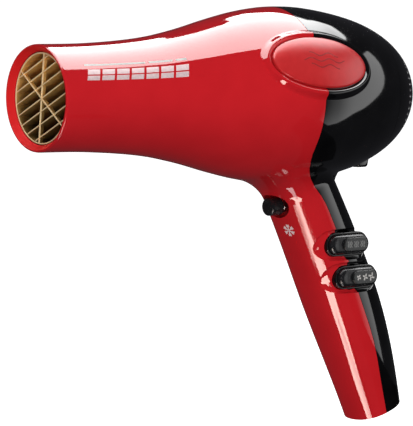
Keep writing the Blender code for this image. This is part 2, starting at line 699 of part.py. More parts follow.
def make_wires():
    """The two leads from the cord clamp up to the switches, past the screw posts."""
    live = [(220.2, -1.6, -162.6), (217.5, -5.0, -158), (213.0, -7.2, -148), (208.5, -7.2, -136),
            (205, -6.0, -124),
            (202, -1.5, -114), (199.5, 2.8, -106), (197.2, 4.1, -101), (196.5, 4.2, -99)]
    neutral = [(220.2, 1.6, -162.6), (217.5, 5.0, -158), (213.0, 7.4, -148), (208.5, 7.8, -136),
               (205, 8.0, -124),
               (202, 8.6, -113), (199, 9.2, -103), (195, 9.0, -93), (191.5, 6.5, -84.5), (190, 4.3, -80.5)]
    wire("live_wire", live, 1.0, BROWN)
    wire("neutral_wire", neutral, 1.0, BLUE)


# ---------------------------------------------------------------- outlet grille and badge

def make_grille():
    rear = GRILLE_FRONT + GRILLE_DEPTH
    bore = GRILLE_RADIUS - RING_WALL
    ring = turned_mesh([(GRILLE_FRONT, GRILLE_RADIUS - 0.3), (GRILLE_FRONT + 0.4, GRILLE_RADIUS),
                        (rear, GRILLE_RADIUS), (rear, bore), (GRILLE_FRONT, bore)], 48)
    grille = add("outlet_grille", ring, GOLD)
    half_depth = GRILLE_DEPTH / 2
    for number in range(BLADE_COUNT):
        offset = (number - (BLADE_COUNT - 1) / 2) * BLADE_PITCH
        chord = 2 * math.sqrt((GRILLE_RADIUS - RING_WALL / 2) ** 2 - (abs(offset) + BLADE_THICK / 2) ** 2)
        turn = Matrix.Rotation(-BLADE_ANGLE, 4, "X")
        at = turn @ Vector((GRILLE_FRONT + half_depth, 0, offset))
        blade = add("blade", box_mesh((GRILLE_DEPTH - 0.6, chord, BLADE_THICK), at, turn))
        boolean(grille, blade, "UNION")
    for angle in BAR_ANGLES:
        turn = Matrix.Rotation(angle, 4, "X")
        length = 2 * GRILLE_RADIUS - RING_WALL
        bar = box_mesh((BAR_DEEP, length, BAR_THICK), (GRILLE_FRONT + 0.5 + BAR_DEEP / 2, 0, 0), turn)
        boolean(grille, add("bar", bar), "UNION")
    smooth(grille)


def make_badges():
    for name, side in (("badge_right", -1), ("badge_left", 1)):
        smooth(add(name, plate_mesh(side), BADGE_RED))


# ---------------------------------------------------------------- filter cover, screen and latch

def merge_into(target, source):
    """Adds one bmesh to another and frees it."""
    mesh = bpy.data.meshes.new("part")
    source.to_mesh(mesh)
    source.free()
    target.from_mesh(mesh)
    bpy.data.meshes.remove(mesh)


def make_filter_cover():
    outside = [(x, float(barrel_radius(x))) for x in (COVER_START, 217, 224, 230, 235.5, 240, 243.0)]
    inside = [(x - COVER_WALL, r - COVER_WALL * 0.8) for x, r in reversed(outside[2:-1])]
    tip = float(outside[-1][0]) + 0.9
    profile = [*outside, (tip, 0), (tip - COVER_WALL, 0), *inside, *COVER_SKIRT]
    cover = add("filter_cover", turned_mesh(profile, 32), BLACK)
    cutters = bmesh.new()
    for radius, count, length in COVER_SLOT_RINGS:
        for k in range(count):
            turn = 2 * math.pi * (k + 0.5) / count
            slot = box_mesh((60, length, COVER_SLOT_WIDTH), (245, radius, 0))
            bmesh.ops.rotate(slot, cent=(0, 0, 0), matrix=Matrix.Rotation(turn, 3, "X"), verts=slot.verts)
            merge_into(cutters, slot)
    boolean(cover, add("slots", cutters), "DIFFERENCE")
    length, width, height = LATCH_SIZE
    opening = box_mesh((length + 2 * GAP, width + 2 * GAP, 2 * height), LATCH_AT)
    boolean(cover, add("opening", opening), "DIFFERENCE")
    smooth(cover, 30)

    latch = add("filter_latch", box_mesh(LATCH_SIZE, LATCH_AT), BLACK, LATCH_AT)
    rounded(latch, 1.2)
    screen = [(207.4, 0), (207.4, 32.6), (209.6, 32.6), (209.6, 30.6), (208.2, 30.6), (208.2, 0)]
    smooth(add("filter_screen", turned_mesh(screen, 32), STEEL))


# ---------------------------------------------------------------- switches

def make_rockers():
    for name, x, z in ROCKERS:
        pill = pill_mesh(ROCKER_LENGTH, ROCKER_HEIGHT, ROCKER_FACE, ROCKER_BACK, (x, z), 6)
        rounded(add(f"{name}_rocker", pill, BLACK, (x, ROCKER_BACK, z)), 1.0, 2, 60)
        bezel = add(f"{name}_bezel", pill_mesh(*bezel_outer(), BEZEL_FACE, BEZEL_BACK, (x, z), 6), BLACK)
        well = pill_mesh(*bezel_inner(), BEZEL_FACE - 5, BEZEL_BACK - BEZEL_FLOOR, (x, z), 6)
        boolean(bezel, add("well", well), "DIFFERENCE")
        smooth(bezel)
        start = BEZEL_BACK + GAP
        block = box_mesh(SWITCH_BLOCK, (x + SWITCH_SHIFT, start + SWITCH_BLOCK[1] / 2, z))
        switch = rounded(add(f"{name}_switch", block, NYLON), 0.6, 1)
        for k in (-1, 0, 1):
            place = (x + SWITCH_SHIFT + SWITCH_TAB_PITCH * k, start + SWITCH_BLOCK[1] + 1.5, z)
            boolean(switch, add("tab", box_mesh(SWITCH_TAB, place)), "UNION")


def make_cool_shot():
    profile = [(COOL_FACE, 0), (COOL_FACE, 3.9), (COOL_FACE + 0.4, 4.55), (COOL_FACE + 1.1, COOL_RADIUS),
               (COOL_CAP_END, COOL_RADIUS), (COOL_CAP_END, COOL_STEM), (COOL_STEM_END, COOL_STEM),
               (COOL_STEM_END, 0)]
    smooth(add("cool_shot_button", turned_mesh(profile, 24, (0, 0, COOL_Z)), BLACK, (COOL_FACE, 0, COOL_Z)))
    spring = helix(COOL_CAP_END + 0.7, COOL_FLOOR - 0.7, 3.2, 3.0, 12, 0.0, (0.0, COOL_Z))
    wire("cool_shot_spring", spring, 0.35, STEEL, 0)
    length = 9.0
    middle = (COOL_STEM_END + COOL_STROKE + 0.6 + length / 2, 0, COOL_Z)
    rounded(add("cool_shot_switch", box_mesh((length, 7.0, 11.0), middle), NYLON), 0.5, 1)


# ---------------------------------------------------------------- motor and fan

def make_motor():
    """Shaft, bearings, can, armature, commutator, brushes and rear cover, centred on the barrel's axis."""
    smooth(add("motor_shaft", turned_mesh(rod_profile(SHAFT_START, SHAFT_END, SHAFT_RADIUS), 12), STEEL,
               (160, 0, 0)))
    for name, start in zip(("front_bearing", "rear_bearing"), BEARING_STARTS):
        profile = rod_profile(start, start + BEARING_LENGTH, BEARING_RADIUS, BORE)
        smooth(add(name, turned_mesh(profile, 16), STEEL))
    front = [(124.2, 3.0), (124.2, 8.0), (126.0, MOTOR_RADIUS), (134.0, MOTOR_RADIUS), (134.0, 16.0),
             (127.6, 15.2), (127.6, 7.4), (130.6, 7.4), (130.6, BEARING_RADIUS + GAP),
             (125.7, BEARING_RADIUS + GAP), (125.7, 3.0)]
    smooth(add("motor_front_cover", turned_mesh(front, 16), STEEL))
    smooth(add("motor_field_core", turned_mesh(rod_profile(134.3, 160, MOTOR_RADIUS, 12.6), 16), STEEL))
    smooth(add("armature", turned_mesh(rod_profile(136, 158, 12.0, BORE), 20), COPPER))
    smooth(add("commutator", turned_mesh(rod_profile(160.4, 168.4, 5.5, BORE), 16), COPPER))
    rear = [(160.3, 16.0), (160.3, MOTOR_RADIUS), (171.0, MOTOR_RADIUS), (178.0, 8.0), (178.0, 3.0),
            (177.3, 3.0), (177.3, BEARING_RADIUS + GAP), (172.2, BEARING_RADIUS + GAP), (172.2, 7.6),
            (175.0, 7.6), (170.0, 15.6), (166.0, 16.0)]
    smooth(add("motor_rear_cover", turned_mesh(rear, 16), NYLON))
    for number, side in enumerate((-1, 1), 1):
        add(f"carbon_brush_{number}", box_mesh(BRUSH_SIZE, (BRUSH_AT[0], side * BRUSH_AT[1], 0)), GRAPHITE)
    smooth(add("rubber_mount", turned_mesh(rod_profile(152, 158, 43.3, 42.0), 32), RUBBER))


def make_motor_mount():
    """Duct ring and motor sleeve joined by guide vanes."""
    ring = rod_profile(*DUCT_RING, DUCT_RADIUS, DUCT_RADIUS - DUCT_WALL)
    mount = add("motor_mount", turned_mesh(ring, 32), NYLON)
    sleeve = add("sleeve", turned_mesh(rod_profile(*SLEEVE, SLEEVE_RADIUS + DUCT_WALL, SLEEVE_RADIUS), 24))
    vanes = bmesh.new()
    for k in range(VANE_COUNT):
        vane = box_mesh(VANE_SIZE, VANE_AT)
        turn = Matrix.Rotation(2 * math.pi * k / VANE_COUNT, 3, "X")
        bmesh.ops.rotate(vane, cent=(0, 0, 0), matrix=turn, verts=vane.verts)
        merge_into(vanes, vane)
    boolean(sleeve, add("vanes", vanes), "UNION")
    boolean(mount, sleeve, "UNION")
    smooth(mount)


def fan_blade():
    """Thin box along Z, subdivided, then twisted and widened towards its tip."""
    blade = bmesh.new()
    bmesh.ops.create_cube(blade, size=1.0)
    spans = [e for e in blade.edges if abs(e.verts[0].co.z - e.verts[1].co.z) > 0.5]
    bmesh.ops.subdivide_edges(blade, edges=spans, cuts=2, use_grid_fill=True)
    for vert in blade.verts:
        share = vert.co.z + 0.5
        pitch = math.radians(FAN_PITCH - FAN_TWIST * share)
        chord = vert.co.y * (FAN_CHORD + FAN_CHORD_GROWTH * share)
        thick = vert.co.x * FAN_THICK
        vert.co = (FAN_X + chord * math.cos(pitch) + thick * math.sin(pitch),
                   -chord * math.sin(pitch) + thick * math.cos(pitch),
                   FAN_ROOT + (FAN_TIP - FAN_ROOT) * share)
    return blade


def make_impeller():
    """Axial fan: a domed hub with twisted blades."""
    impeller = add("fan_impeller", turned_mesh(FAN_HUB, 24), NYLON, (190, 0, 0))
    bore = turned_mesh(rod_profile(170, SHAFT_END + 0.6, BORE), 12)
    boolean(impeller, add("bore", bore), "DIFFERENCE")
    for k in range(FAN_COUNT):
        blade = fan_blade()
        turn = Matrix.Rotation(2 * math.pi * k / FAN_COUNT, 3, "X")
        bmesh.ops.rotate(blade, cent=(0, 0, 0), matrix=turn, verts=blade.verts)
        boolean(impeller, add("blade", blade), "UNION")
    smooth(impeller)


# ---------------------------------------------------------------- heater

def make_heater():
    """Mica tube, two crossed boards slotted into each other, two coils, a thermostat and a thermal fuse."""
    tube = rod_profile(HEATER_START, HEATER_END, TUBE_RADIUS, TUBE_RADIUS - TUBE_WALL)
    smooth(add("heater_tube", turned_mesh(tube, 32), MICA))
    middle = (HEATER_START + HEATER_END) / 2
    length = HEATER_END - HEATER_START - 6
    for name, turned, cut_side in (("mica_board_upright", False, 1), ("mica_board_flat", True, -1)):
        size = (length, BOARD_THICK, 2 * BOARD_HALF)
        slot = (length, BOARD_THICK + 2 * GAP, BOARD_THICK + 2 * GAP)
        board_mesh = box_mesh(size, (middle, 0, 0))
        slot_mesh = box_mesh(slot, (middle + cut_side * (length / 2 - GAP / 2), 0, 0))
        if turned:
            quarter = Matrix.Rotation(math.pi / 2, 3, "X")
            bmesh.ops.rotate(board_mesh, cent=(0, 0, 0), matrix=quarter, verts=board_mesh.verts)
        board = add(name, board_mesh, MICA)
        boolean(board, add("slot", slot_mesh), "DIFFERENCE")
    for number, (start, end) in enumerate(COILS, 1):
        points = helix(start, end, BOARD_HALF + COIL_STANDOFF, COIL_TURNS, 12)
        wire(f"heating_coil_{number}", points, COIL_WIRE, STEEL, 0)
    on_board = BOARD_THICK / 2 + GAP
    place = (*THERMOSTAT_AT, on_board + THERMOSTAT_SIZE[2] / 2)
    add("thermostat", box_mesh(THERMOSTAT_SIZE, place), NYLON)
    start, end, y = FUSE_AT
    fuse = turned_mesh(rod_profile(start, end, FUSE_RADIUS), 12, (0, y, on_board + FUSE_RADIUS))
    smooth(add("thermal_fuse", fuse, STEEL))


# ---------------------------------------------------------------- build

for old in list(bpy.data.objects):
    bpy.data.objects.remove(old)
parts = new_collection("hair_dryer")
frame = bpy.data.objects.new("hair_dryer_frame", None)
frame.location = -Vector(CENTRE) * MM
parts.objects.link(frame)

RED = principled("red_gloss_plastic", (0.52, 0.012, 0.018), 0.18)
BADGE_RED = principled("red_satin_plastic", (0.70, 0.035, 0.035), 0.35)
BLACK = principled("black_gloss_plastic", (0.012, 0.012, 0.014), 0.15)
GOLD = principled("gold_ceramic_coating", (0.72, 0.46, 0.17), 0.35, 0.9)
STEEL = principled("steel", (0.60, 0.60, 0.62), 0.35, 1.0)
COPPER = principled("copper", (0.72, 0.36, 0.20), 0.35, 1.0)
NYLON = principled("heat_resistant_nylon", (0.05, 0.05, 0.055), 0.5)
GRAPHITE = principled("graphite", (0.03, 0.03, 0.03), 0.6)
RUBBER = principled("black_rubber", (0.02, 0.02, 0.02), 0.7)
MICA = principled("mica", (0.62, 0.55, 0.42), 0.5)
BROWN = principled("brown_insulation", (0.16, 0.06, 0.03), 0.45)
BLUE = principled("blue_insulation", (0.02, 0.10, 0.45), 0.45)

make_housings()
make_screws()
make_gland_and_clamp()
make_wires()
make_grille()
make_badges()
make_filter_cover()
make_rockers()
make_cool_shot()
make_motor()
make_motor_mount()
make_impeller()
make_heater()
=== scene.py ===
"""Looks of the hair dryer: smooth shells, fine grille, markings, materials, studio light and camera.

Shapes are worked out in millimetres in the dryer's design axes, as in the CAD model: the barrel's axis is
X with the outlet at x = 0, Z is up, and the handle hangs down.  finish_piece puts them in the frame.
"""
import json
import math

import bmesh
import bpy
import numpy as np
from mathutils import Matrix, Vector


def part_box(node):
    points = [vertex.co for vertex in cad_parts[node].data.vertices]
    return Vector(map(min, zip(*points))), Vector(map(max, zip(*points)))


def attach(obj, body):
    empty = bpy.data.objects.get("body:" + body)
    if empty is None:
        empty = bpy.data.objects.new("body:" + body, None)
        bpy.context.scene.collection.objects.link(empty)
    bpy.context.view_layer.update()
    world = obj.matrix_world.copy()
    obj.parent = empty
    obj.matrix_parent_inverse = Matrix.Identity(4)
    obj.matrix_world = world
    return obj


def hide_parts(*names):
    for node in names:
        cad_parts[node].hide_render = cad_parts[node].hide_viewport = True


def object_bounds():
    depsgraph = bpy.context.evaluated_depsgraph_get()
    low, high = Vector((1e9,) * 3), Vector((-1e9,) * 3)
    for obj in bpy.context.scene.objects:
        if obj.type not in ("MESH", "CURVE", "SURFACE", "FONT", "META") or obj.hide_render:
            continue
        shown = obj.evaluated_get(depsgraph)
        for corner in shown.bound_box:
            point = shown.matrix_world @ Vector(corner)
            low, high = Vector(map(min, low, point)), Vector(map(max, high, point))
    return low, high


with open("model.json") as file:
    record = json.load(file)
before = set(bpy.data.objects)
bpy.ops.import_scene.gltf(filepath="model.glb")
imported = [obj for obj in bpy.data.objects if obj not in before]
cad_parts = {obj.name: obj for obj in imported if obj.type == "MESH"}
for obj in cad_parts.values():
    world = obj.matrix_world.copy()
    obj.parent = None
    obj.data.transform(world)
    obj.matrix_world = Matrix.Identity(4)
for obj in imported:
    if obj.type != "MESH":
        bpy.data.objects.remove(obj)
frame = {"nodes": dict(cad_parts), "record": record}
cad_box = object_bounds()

MM = 0.001
GAP = 0.3
OFF_PLANE = math.radians(5.0)   # turns round cutters so that no edge lies in the plane of symmetry
ORIGIN = Vector((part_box("front_housing")[0].x, 0.0,
                 (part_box("motor_shaft")[0].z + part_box("motor_shaft")[1].z) / 2))

# Housing outline, the same as the CAD model's
BARREL = [(-20, 26.5), (0, 26.5), (20, 26.7), (39, 27.6), (64, 29.9), (90, 34.9), (111, 40.4), (132, 44.9),
          (149, 46.8), (160, 46.9), (175, 45.6), (190, 43.2), (203, 40.2), (215, 35.8), (226, 29.6),
          (234.5, 22.0), (240.5, 13.6), (244, 0.3)]
WALL = 2.2
MOUTH_START = 2.0
MOUTH_LIP = [(1.1, 26.46), (0.5, 26.32), (0.16, 26.08), (0.03, 25.85), (0.0, 25.6)]
MOUTH_BORE = 22.9
REAR_OPENING = 210.0
HANDLE_LENGTH = [(-200, 13.6), (-176, 16.4), (-160, 18.4), (-144, 20.6), (-110, 23.3), (-70, 22.3),
                 (-40, 21.4), (20, 24.0)]
HANDLE_WIDTH = [(-200, 13.0), (-176, 14.6), (-160, 15.8), (-144, 16.8), (-110, 18.0), (-70, 18.4),
                (20, 18.6)]
HANDLE_POWER = 2.3
HANDLE_TOP = -15.0
FILLET_FRONT, FILLET_REAR = 12.0, 2.0
END_TILT = math.radians(18.5)
END_POINT = (226.0, -175.3)
END_WALL = 2.6
SEAM = [(-195, 229.5), (-161, 218.8), (-135, 211.0), (-110, 199.8), (-88, 190.2), (-70, 180.6),
        (-56.4, 173.0), (-45, 162.5), (-34, 150.9), (-28, 148.6), (-20, 148.4), (70, 148.4)]

# Badge and its raised collar
BADGE_X = 148.3
BADGE_HALF = (29.7, 13.7)
BADGE_TILT = math.radians(-5.6)
BADGE_FACE = math.radians(22.0)
# Crown of the collar as (outward from the badge's edge, height above the barrel)
COLLAR = [(0.45, 0.7), (1.2, 1.4), (2.0, 1.95), (2.7, 2.15), (3.4, 1.9), (4.2, 1.15), (5.0, 0.4),
          (5.8, 0.03), (6.2, -0.06)]
PLATE = [(0.0, 2.9), (0.3, 2.88), (0.55, 2.8), (0.75, 2.68), (0.86, 2.55), (0.93, 2.38), (0.965, 2.2),
         (0.985, 2.0), (0.996, 1.75), (1.0, 1.45), (1.0, 0.45), (0.62, 0.45), (0.3, 0.45), (0.0, 0.45)]

COOL_Z = -59.5
COOL_FLOOR = 161.0
COOL_BORE = 6.3
COOL_MOUTH = 12.5               # half width of the button's well where it opens; half height is COOL_BORE
STEM_HOLE = 2.5
GLAND_X = 224.4
GLAND_HOLE = 6.7
SCREW_LEAN = math.radians(23.0)
SCREW_HOLE = 3.3
DISH_DEPTH = 0.75
HOLE_PITCH, HOLE_RADIUS = 3.1, 0.85
HOLE_RINGS = range(2, 11)
LATCH_TAPER = 0.78
BLADE_COUNT, BLADE_PITCH, BLADE_THICK = 7, 5.6, 0.8
BLADE_ANGLE = math.radians(24.0)
BAR_ANGLES = (math.radians(37.0), math.radians(-84.0))
COVER_START = REAR_OPENING + GAP
COVER_WALL = 2.0


# ---------------------------------------------------------------- outline

def curve_through(stations):
    """Smooth function through (position, value) stations that never overshoots between them."""
    xs, ys = (np.array(c, float) for c in zip(*stations))
    step = np.diff(xs)
    slope = np.diff(ys) / step
    tangent = np.zeros_like(ys)
    for i in range(1, len(xs) - 1):
        if slope[i - 1] * slope[i] > 0:
            w1, w2 = 2 * step[i] + step[i - 1], step[i] + 2 * step[i - 1]
            tangent[i] = (w1 + w2) / (w1 / slope[i - 1] + w2 / slope[i])
    tangent[0], tangent[-1] = slope[0], slope[-1]

    def value(x):
        x = np.clip(x, xs[0], xs[-1])
        i = np.clip(np.searchsorted(xs, x, side="right") - 1, 0, len(xs) - 2)
        t = (x - xs[i]) / step[i]
        return ((1 + 2 * t) * (1 - t) ** 2 * ys[i] + t * (1 - t) ** 2 * step[i] * tangent[i]
                + t * t * (3 - 2 * t) * ys[i + 1] + t * t * (t - 1) * step[i] * tangent[i + 1])
    return value


def softened(stations, low, high, spread):
    """Smooth curve through stations, averaged over a bell-shaped window so that its slope changes slowly."""
    places = np.arange(low, high + 1.0, 1.0)
    reach = int(3 * spread)
    window = np.exp(-0.5 * (np.arange(-reach, reach + 1) / spread) ** 2)
    values = curve_through(stations)(np.arange(low - reach, high + reach + 1.0, 1.0))
    averaged = np.convolve(values, window / window.sum(), mode="valid")
    return curve_through(list(zip(places[::2], averaged[::2])))


def barrel_radius(x):
    """Softened along the body, exact towards the rear end."""
    share = np.clip((x - 208.0) / 14.0, 0, 1)
    return soft_barrel(x) * (1 - share) + sharp_barrel(x) * share


soft_barrel = softened(BARREL, -30, 240, 4.0)
sharp_barrel = curve_through(BARREL)
handle_half_length = softened(HANDLE_LENGTH, -230, 60, 9.0)
handle_half_width = softened(HANDLE_WIDTH, -230, 60, 9.0)
seam_x = curve_through(SEAM)


def handle_centre(z):
    t = (-z - 70) / 103.0
    return 181.3 + 43.4 * t + 9.4 * t * (1 - t)


def housing_field(p):
    """Below zero inside the housing's outer surface, above it outside."""
    x, y, z = p[:, 0], p[:, 1], p[:, 2]
    barrel = np.hypot(y, z) - barrel_radius(x)
    a, b = handle_half_length(z), handle_half_width(z)
    section = (np.abs((x - handle_centre(z)) / a) ** HANDLE_POWER + np.abs(y / b) ** HANDLE_POWER)
    handle = (section ** (1 / HANDLE_POWER) - 1) * np.minimum(a, b) * 0.95
    handle = np.maximum(handle, z - HANDLE_TOP)
    across = np.clip((x - handle_centre(np.clip(z, -90, -30))) / 40 + 0.5, 0, 1)
    fillet = FILLET_FRONT * (1 - across) + FILLET_REAR * across
    h = np.clip(0.5 + 0.5 * (handle - barrel) / fillet, 0, 1)
    return handle * (1 - h) + barrel * h - fillet * h * (1 - h)


def field_gradient(p):
    step = 0.05
    columns = [(housing_field(p + step * e) - housing_field(p - step * e)) / (2 * step) for e in np.eye(3)]
    return np.stack(columns, 1)


def onto_housing(points, offset):
    """Moves points straight onto the housing surface, offset outwards."""
    points = np.array(points, float)
    for _ in range(8):
        gradient = field_gradient(points)
        value = housing_field(points) - offset
        points -= gradient * (value / np.maximum((gradient ** 2).sum(1), 1e-6))[:, None]
    return points


def end_height(x, inset=0.0):
    return END_POINT[1] + (x - END_POINT[0]) * math.tan(END_TILT) + inset / math.cos(END_TILT)


def end_normal():
    return Vector((math.sin(END_TILT), 0, -math.cos(END_TILT)))


# ---------------------------------------------------------------- mesh helpers, in design millimetres

def linked(name, data):
    obj = bpy.data.objects.new(name, data)
    bpy.context.scene.collection.objects.link(obj)
    return obj


def add(name, bm):
    bmesh.ops.recalc_face_normals(bm, faces=bm.faces)
    mesh = bpy.data.meshes.new(name)
    bm.to_mesh(mesh)
    bm.free()
    return linked(name, mesh)


def join_rings(bm, low, high):
    """Faces between two rings with as many vertices each."""
    for k in range(len(low)):
        n = (k + 1) % len(low)
        bm.faces.new((low[k], low[n], high[n], high[k]))


def prism(outline, near, far):
    """Solid over an outline of (x, z) points, from y = near to y = far."""
    bm = bmesh.new()
    face = bm.faces.new([bm.verts.new((x, near, z)) for x, z in outline])
    made = bmesh.ops.extrude_face_region(bm, geom=[face])
    moved = [v for v in made["geom"] if isinstance(v, bmesh.types.BMVert)]
    bmesh.ops.translate(bm, vec=(0, far - near, 0), verts=moved)
    return bm


def bake(obj):
    bpy.context.view_layer.update()
    evaluated = obj.evaluated_get(bpy.context.evaluated_depsgraph_get())
    mesh = bpy.data.meshes.new_from_object(evaluated)
    obj.modifiers.clear()
    obj.data = mesh
    return obj


def boolean(obj, tool, operation, keep_tool=False):
    modifier = obj.modifiers.new("cut", "BOOLEAN")
    modifier.operation = operation
    modifier.solver = "MANIFOLD"
    modifier.object = tool
    before = len(obj.data.vertices)
    bake(obj)
    if len(obj.data.vertices) == before:
        print("note: no change from", operation, "with", tool.name, "on", obj.name)
    if not keep_tool:
        bpy.data.objects.remove(tool)
    return obj


def turned_mesh(profile, steps=96, axis_point=(0, 0, 0), direction=None, phase=0.0):
    """Closed profile of (along, radius) points spun round an axis: X unless a direction is given."""
    bm = bmesh.new()
    verts = [bm.verts.new((along, 0, radius)) for along, radius in profile]
    edges = [bm.edges.new((verts[i], verts[i - 1])) for i in range(len(verts))]
    if profile[0][1] < 1e-6 and profile[-1][1] < 1e-6:
        bm.edges.remove(edges[0])
        edges = edges[1:]
    bmesh.ops.spin(bm, geom=verts + edges, cent=(0, 0, 0), axis=(1, 0, 0), angle=2 * math.pi, steps=steps,
                   use_merge=True)
    bmesh.ops.remove_doubles(bm, verts=bm.verts, dist=1e-4)
    bmesh.ops.rotate(bm, cent=(0, 0, 0), matrix=Matrix.Rotation(phase, 3, "X"), verts=bm.verts)
    if direction is not None:
        turn = Vector((1, 0, 0)).rotation_difference(Vector(direction)).to_matrix().to_4x4()
        bmesh.ops.transform(bm, matrix=turn, verts=bm.verts)
    bmesh.ops.translate(bm, vec=axis_point, verts=bm.verts)
    return bm


def rod_profile(start, end, radius, inner=0.0):
    return [(start, inner), (start, radius), (end, radius), (end, inner)]


def pill_outline(length, height, inset, at, steps):
    """Points of a pill-shaped outline in the XZ plane, moved in by inset."""
    radius = height / 2
    reach = length / 2 - radius
    points = []
    for side in (1, -1):
        for k in range(steps + 1):
            turn = math.pi * k / steps - math.pi / 2
            points.append((at[0] + side * (reach + (radius - inset) * math.cos(turn)),
                           at[1] + side * (radius - inset) * math.sin(turn)))
    return points


def pillow(length, height, at, back, face, edge, steps=16, rise=None):
    """Pill with a rounded edge on its -Y face. rise moves the face's points along Y by their x."""
    levels = [(0.0, back), (0.0, face + edge)]
    levels += [(edge * (1 - math.cos(a)), face + edge * (1 - math.sin(a)))
               for a in (math.pi / 2 * k / 7 for k in range(1, 8))]
    inner = height / 2
    levels += [(edge + (inner - edge) * s, face) for s in (0.25, 0.5, 0.75, 1.0)]
    bm = bmesh.new()
    rings = []
    for inset, y in levels:
        ring = []
        for x, z in pill_outline(length, height, min(inset, inner - 0.001), at, steps):
            moved = rise(x - at[0]) * (back - y) / (back - face) if rise else 0.0
            ring.append(bm.verts.new((x, y + moved, z)))
        rings.append(ring)
    bm.faces.new(rings[0])
    for low, high in zip(rings, rings[1:]):
        join_rings(bm, low, high)
    last = rings[-1]
    half = len(last) // 2
    for k in range(half - 1):
        bm.faces.new((last[k], last[k + 1], last[2 * half - 2 - k], last[2 * half - 1 - k]))
    bmesh.ops.remove_doubles(bm, verts=bm.verts, dist=0.01)
    return bm


def box_mesh(size, at, turn=None):
    bm = bmesh.new()
    bmesh.ops.create_cube(bm, size=1.0)
    bmesh.ops.scale(bm, vec=size, verts=bm.verts)
    if turn:
        bmesh.ops.transform(bm, matrix=turn, verts=bm.verts)
    bmesh.ops.translate(bm, vec=at, verts=bm.verts)
    return bm


def merge_into(target, source):
    """Adds one bmesh to another and frees it."""
    mesh = bpy.data.meshes.new("part")
    source.to_mesh(mesh)
    source.free()
    target.from_mesh(mesh)
    bpy.data.meshes.remove(mesh)


def inlay(bm, rows, put, top=0.05, bottom=-0.25):
    """Thin closed plate over a grid of (u, v) rows. put turns arrays u, v and a height into points."""
    flat = [uv for row in rows for uv in row]
    u, v = np.array(flat, float).T
    wide = len(rows[0])
    layers = []
    for height in (top, bottom):
        layers.append([bm.verts.new(p) for p in put(u, v, height)])
    for i in range(len(rows) - 1):
        for k in range(wide - 1):
            a = i * wide + k
            square = (a, a + 1, a + wide + 1, a + wide)
            bm.faces.new([layers[0][j] for j in square])
            bm.faces.new([layers[1][j] for j in reversed(square)])
    count = len(flat)
    rim = list(range(wide)) + list(range(2 * wide - 1, count, wide))
    rim += list(range(count - 2, count - wide - 1, -1)) + list(range(count - 2 * wide, 0, -wide))
    for a, b in zip(rim, rim[1:] + rim[:1]):
        bm.faces.new((layers[0][a], layers[0][b], layers[1][b], layers[1][a]))


def stroke(points, width, across=2):
    """Rows across a line of (u, v) points, for inlay."""
    pts = np.array(points, float)
    way = np.gradient(pts, axis=0)
    way /= np.linalg.norm(way, axis=1)[:, None]
    side = np.stack([-way[:, 1], way[:, 0]], 1)
    shares = [k / (across - 1) - 0.5 for k in range(across)]
    return [[tuple(p + s * width * share) for share in shares] for p, s in zip(pts, side)]


def shade(obj, angle=32.0):
    obj.data.shade_smooth()
    obj.data.set_sharp_from_angle(angle=math.radians(angle))


def shade_shell(obj):
    """Gives the outer skin the exact direction of the housing surface, and the cuts their own."""
    shade(obj, 30)
    mesh = obj.data
    co = np.zeros(len(mesh.vertices) * 3)
    mesh.vertices.foreach_get("co", co)
    co = co.reshape(-1, 3)
    corner = np.zeros(len(mesh.loops), int)
    mesh.loops.foreach_get("vertex_index", corner)
    sizes = np.zeros(len(mesh.polygons), int)
    mesh.polygons.foreach_get("loop_total", sizes)
    faces = np.zeros(len(mesh.polygons) * 3)
    mesh.polygons.foreach_get("normal", faces)
    face_normal = np.repeat(faces.reshape(-1, 3), sizes, axis=0)
    gradient = field_gradient(co)
    gradient /= np.linalg.norm(gradient, axis=1)[:, None]
    on_skin = np.abs(housing_field(co)) < 0.07
    way = gradient[corner]
    keep = on_skin[corner] & ((way * face_normal).sum(1) > 0.93)
    mesh.normals_split_custom_set(np.where(keep[:, None], way, 0.0).tolist())


def finish_piece(obj, body, slot, material, *nodes):
    """Puts a piece in the frame, gives it its material and lets it ride on a body."""
    obj.data.transform(Matrix.Translation(ORIGIN) @ Matrix.Scale(MM, 4))
    obj.data.materials.clear()
    obj.data.materials.append(material)
    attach(obj, body)
    if nodes:
        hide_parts(*nodes)
    return obj


# ---------------------------------------------------------------- housing skin

CAGE_RING = 16
HOLE_SIDE = (6, 10)
BODY_STATIONS = [24, 48, 70, 92, 113, 132, 147, 161, 175, 190, 200]
HOLE_STATIONS = (5, 9)
HANDLE_STATIONS = [-47, -57, -74, -98, -124, -150]


def cage_point(x, k):
    turn = 2 * math.pi * k / CAGE_RING
    radius = float(barrel_radius(x))
    return x, radius * math.sin(turn), radius * math.cos(turn)


def handle_point(z, turn):
    c, s = math.cos(turn), math.sin(turn)
    power = 2 / HANDLE_POWER
    x = handle_centre(z) - float(handle_half_length(z)) * math.copysign(abs(c) ** power, c)
    return x, float(handle_half_width(z)) * math.copysign(abs(s) ** power, s), z


def handle_end_point(turn, inset):
    z = END_POINT[1]
    for _ in range(8):
        z = end_height(handle_point(z, turn)[0], inset)
    return handle_point(z, turn)


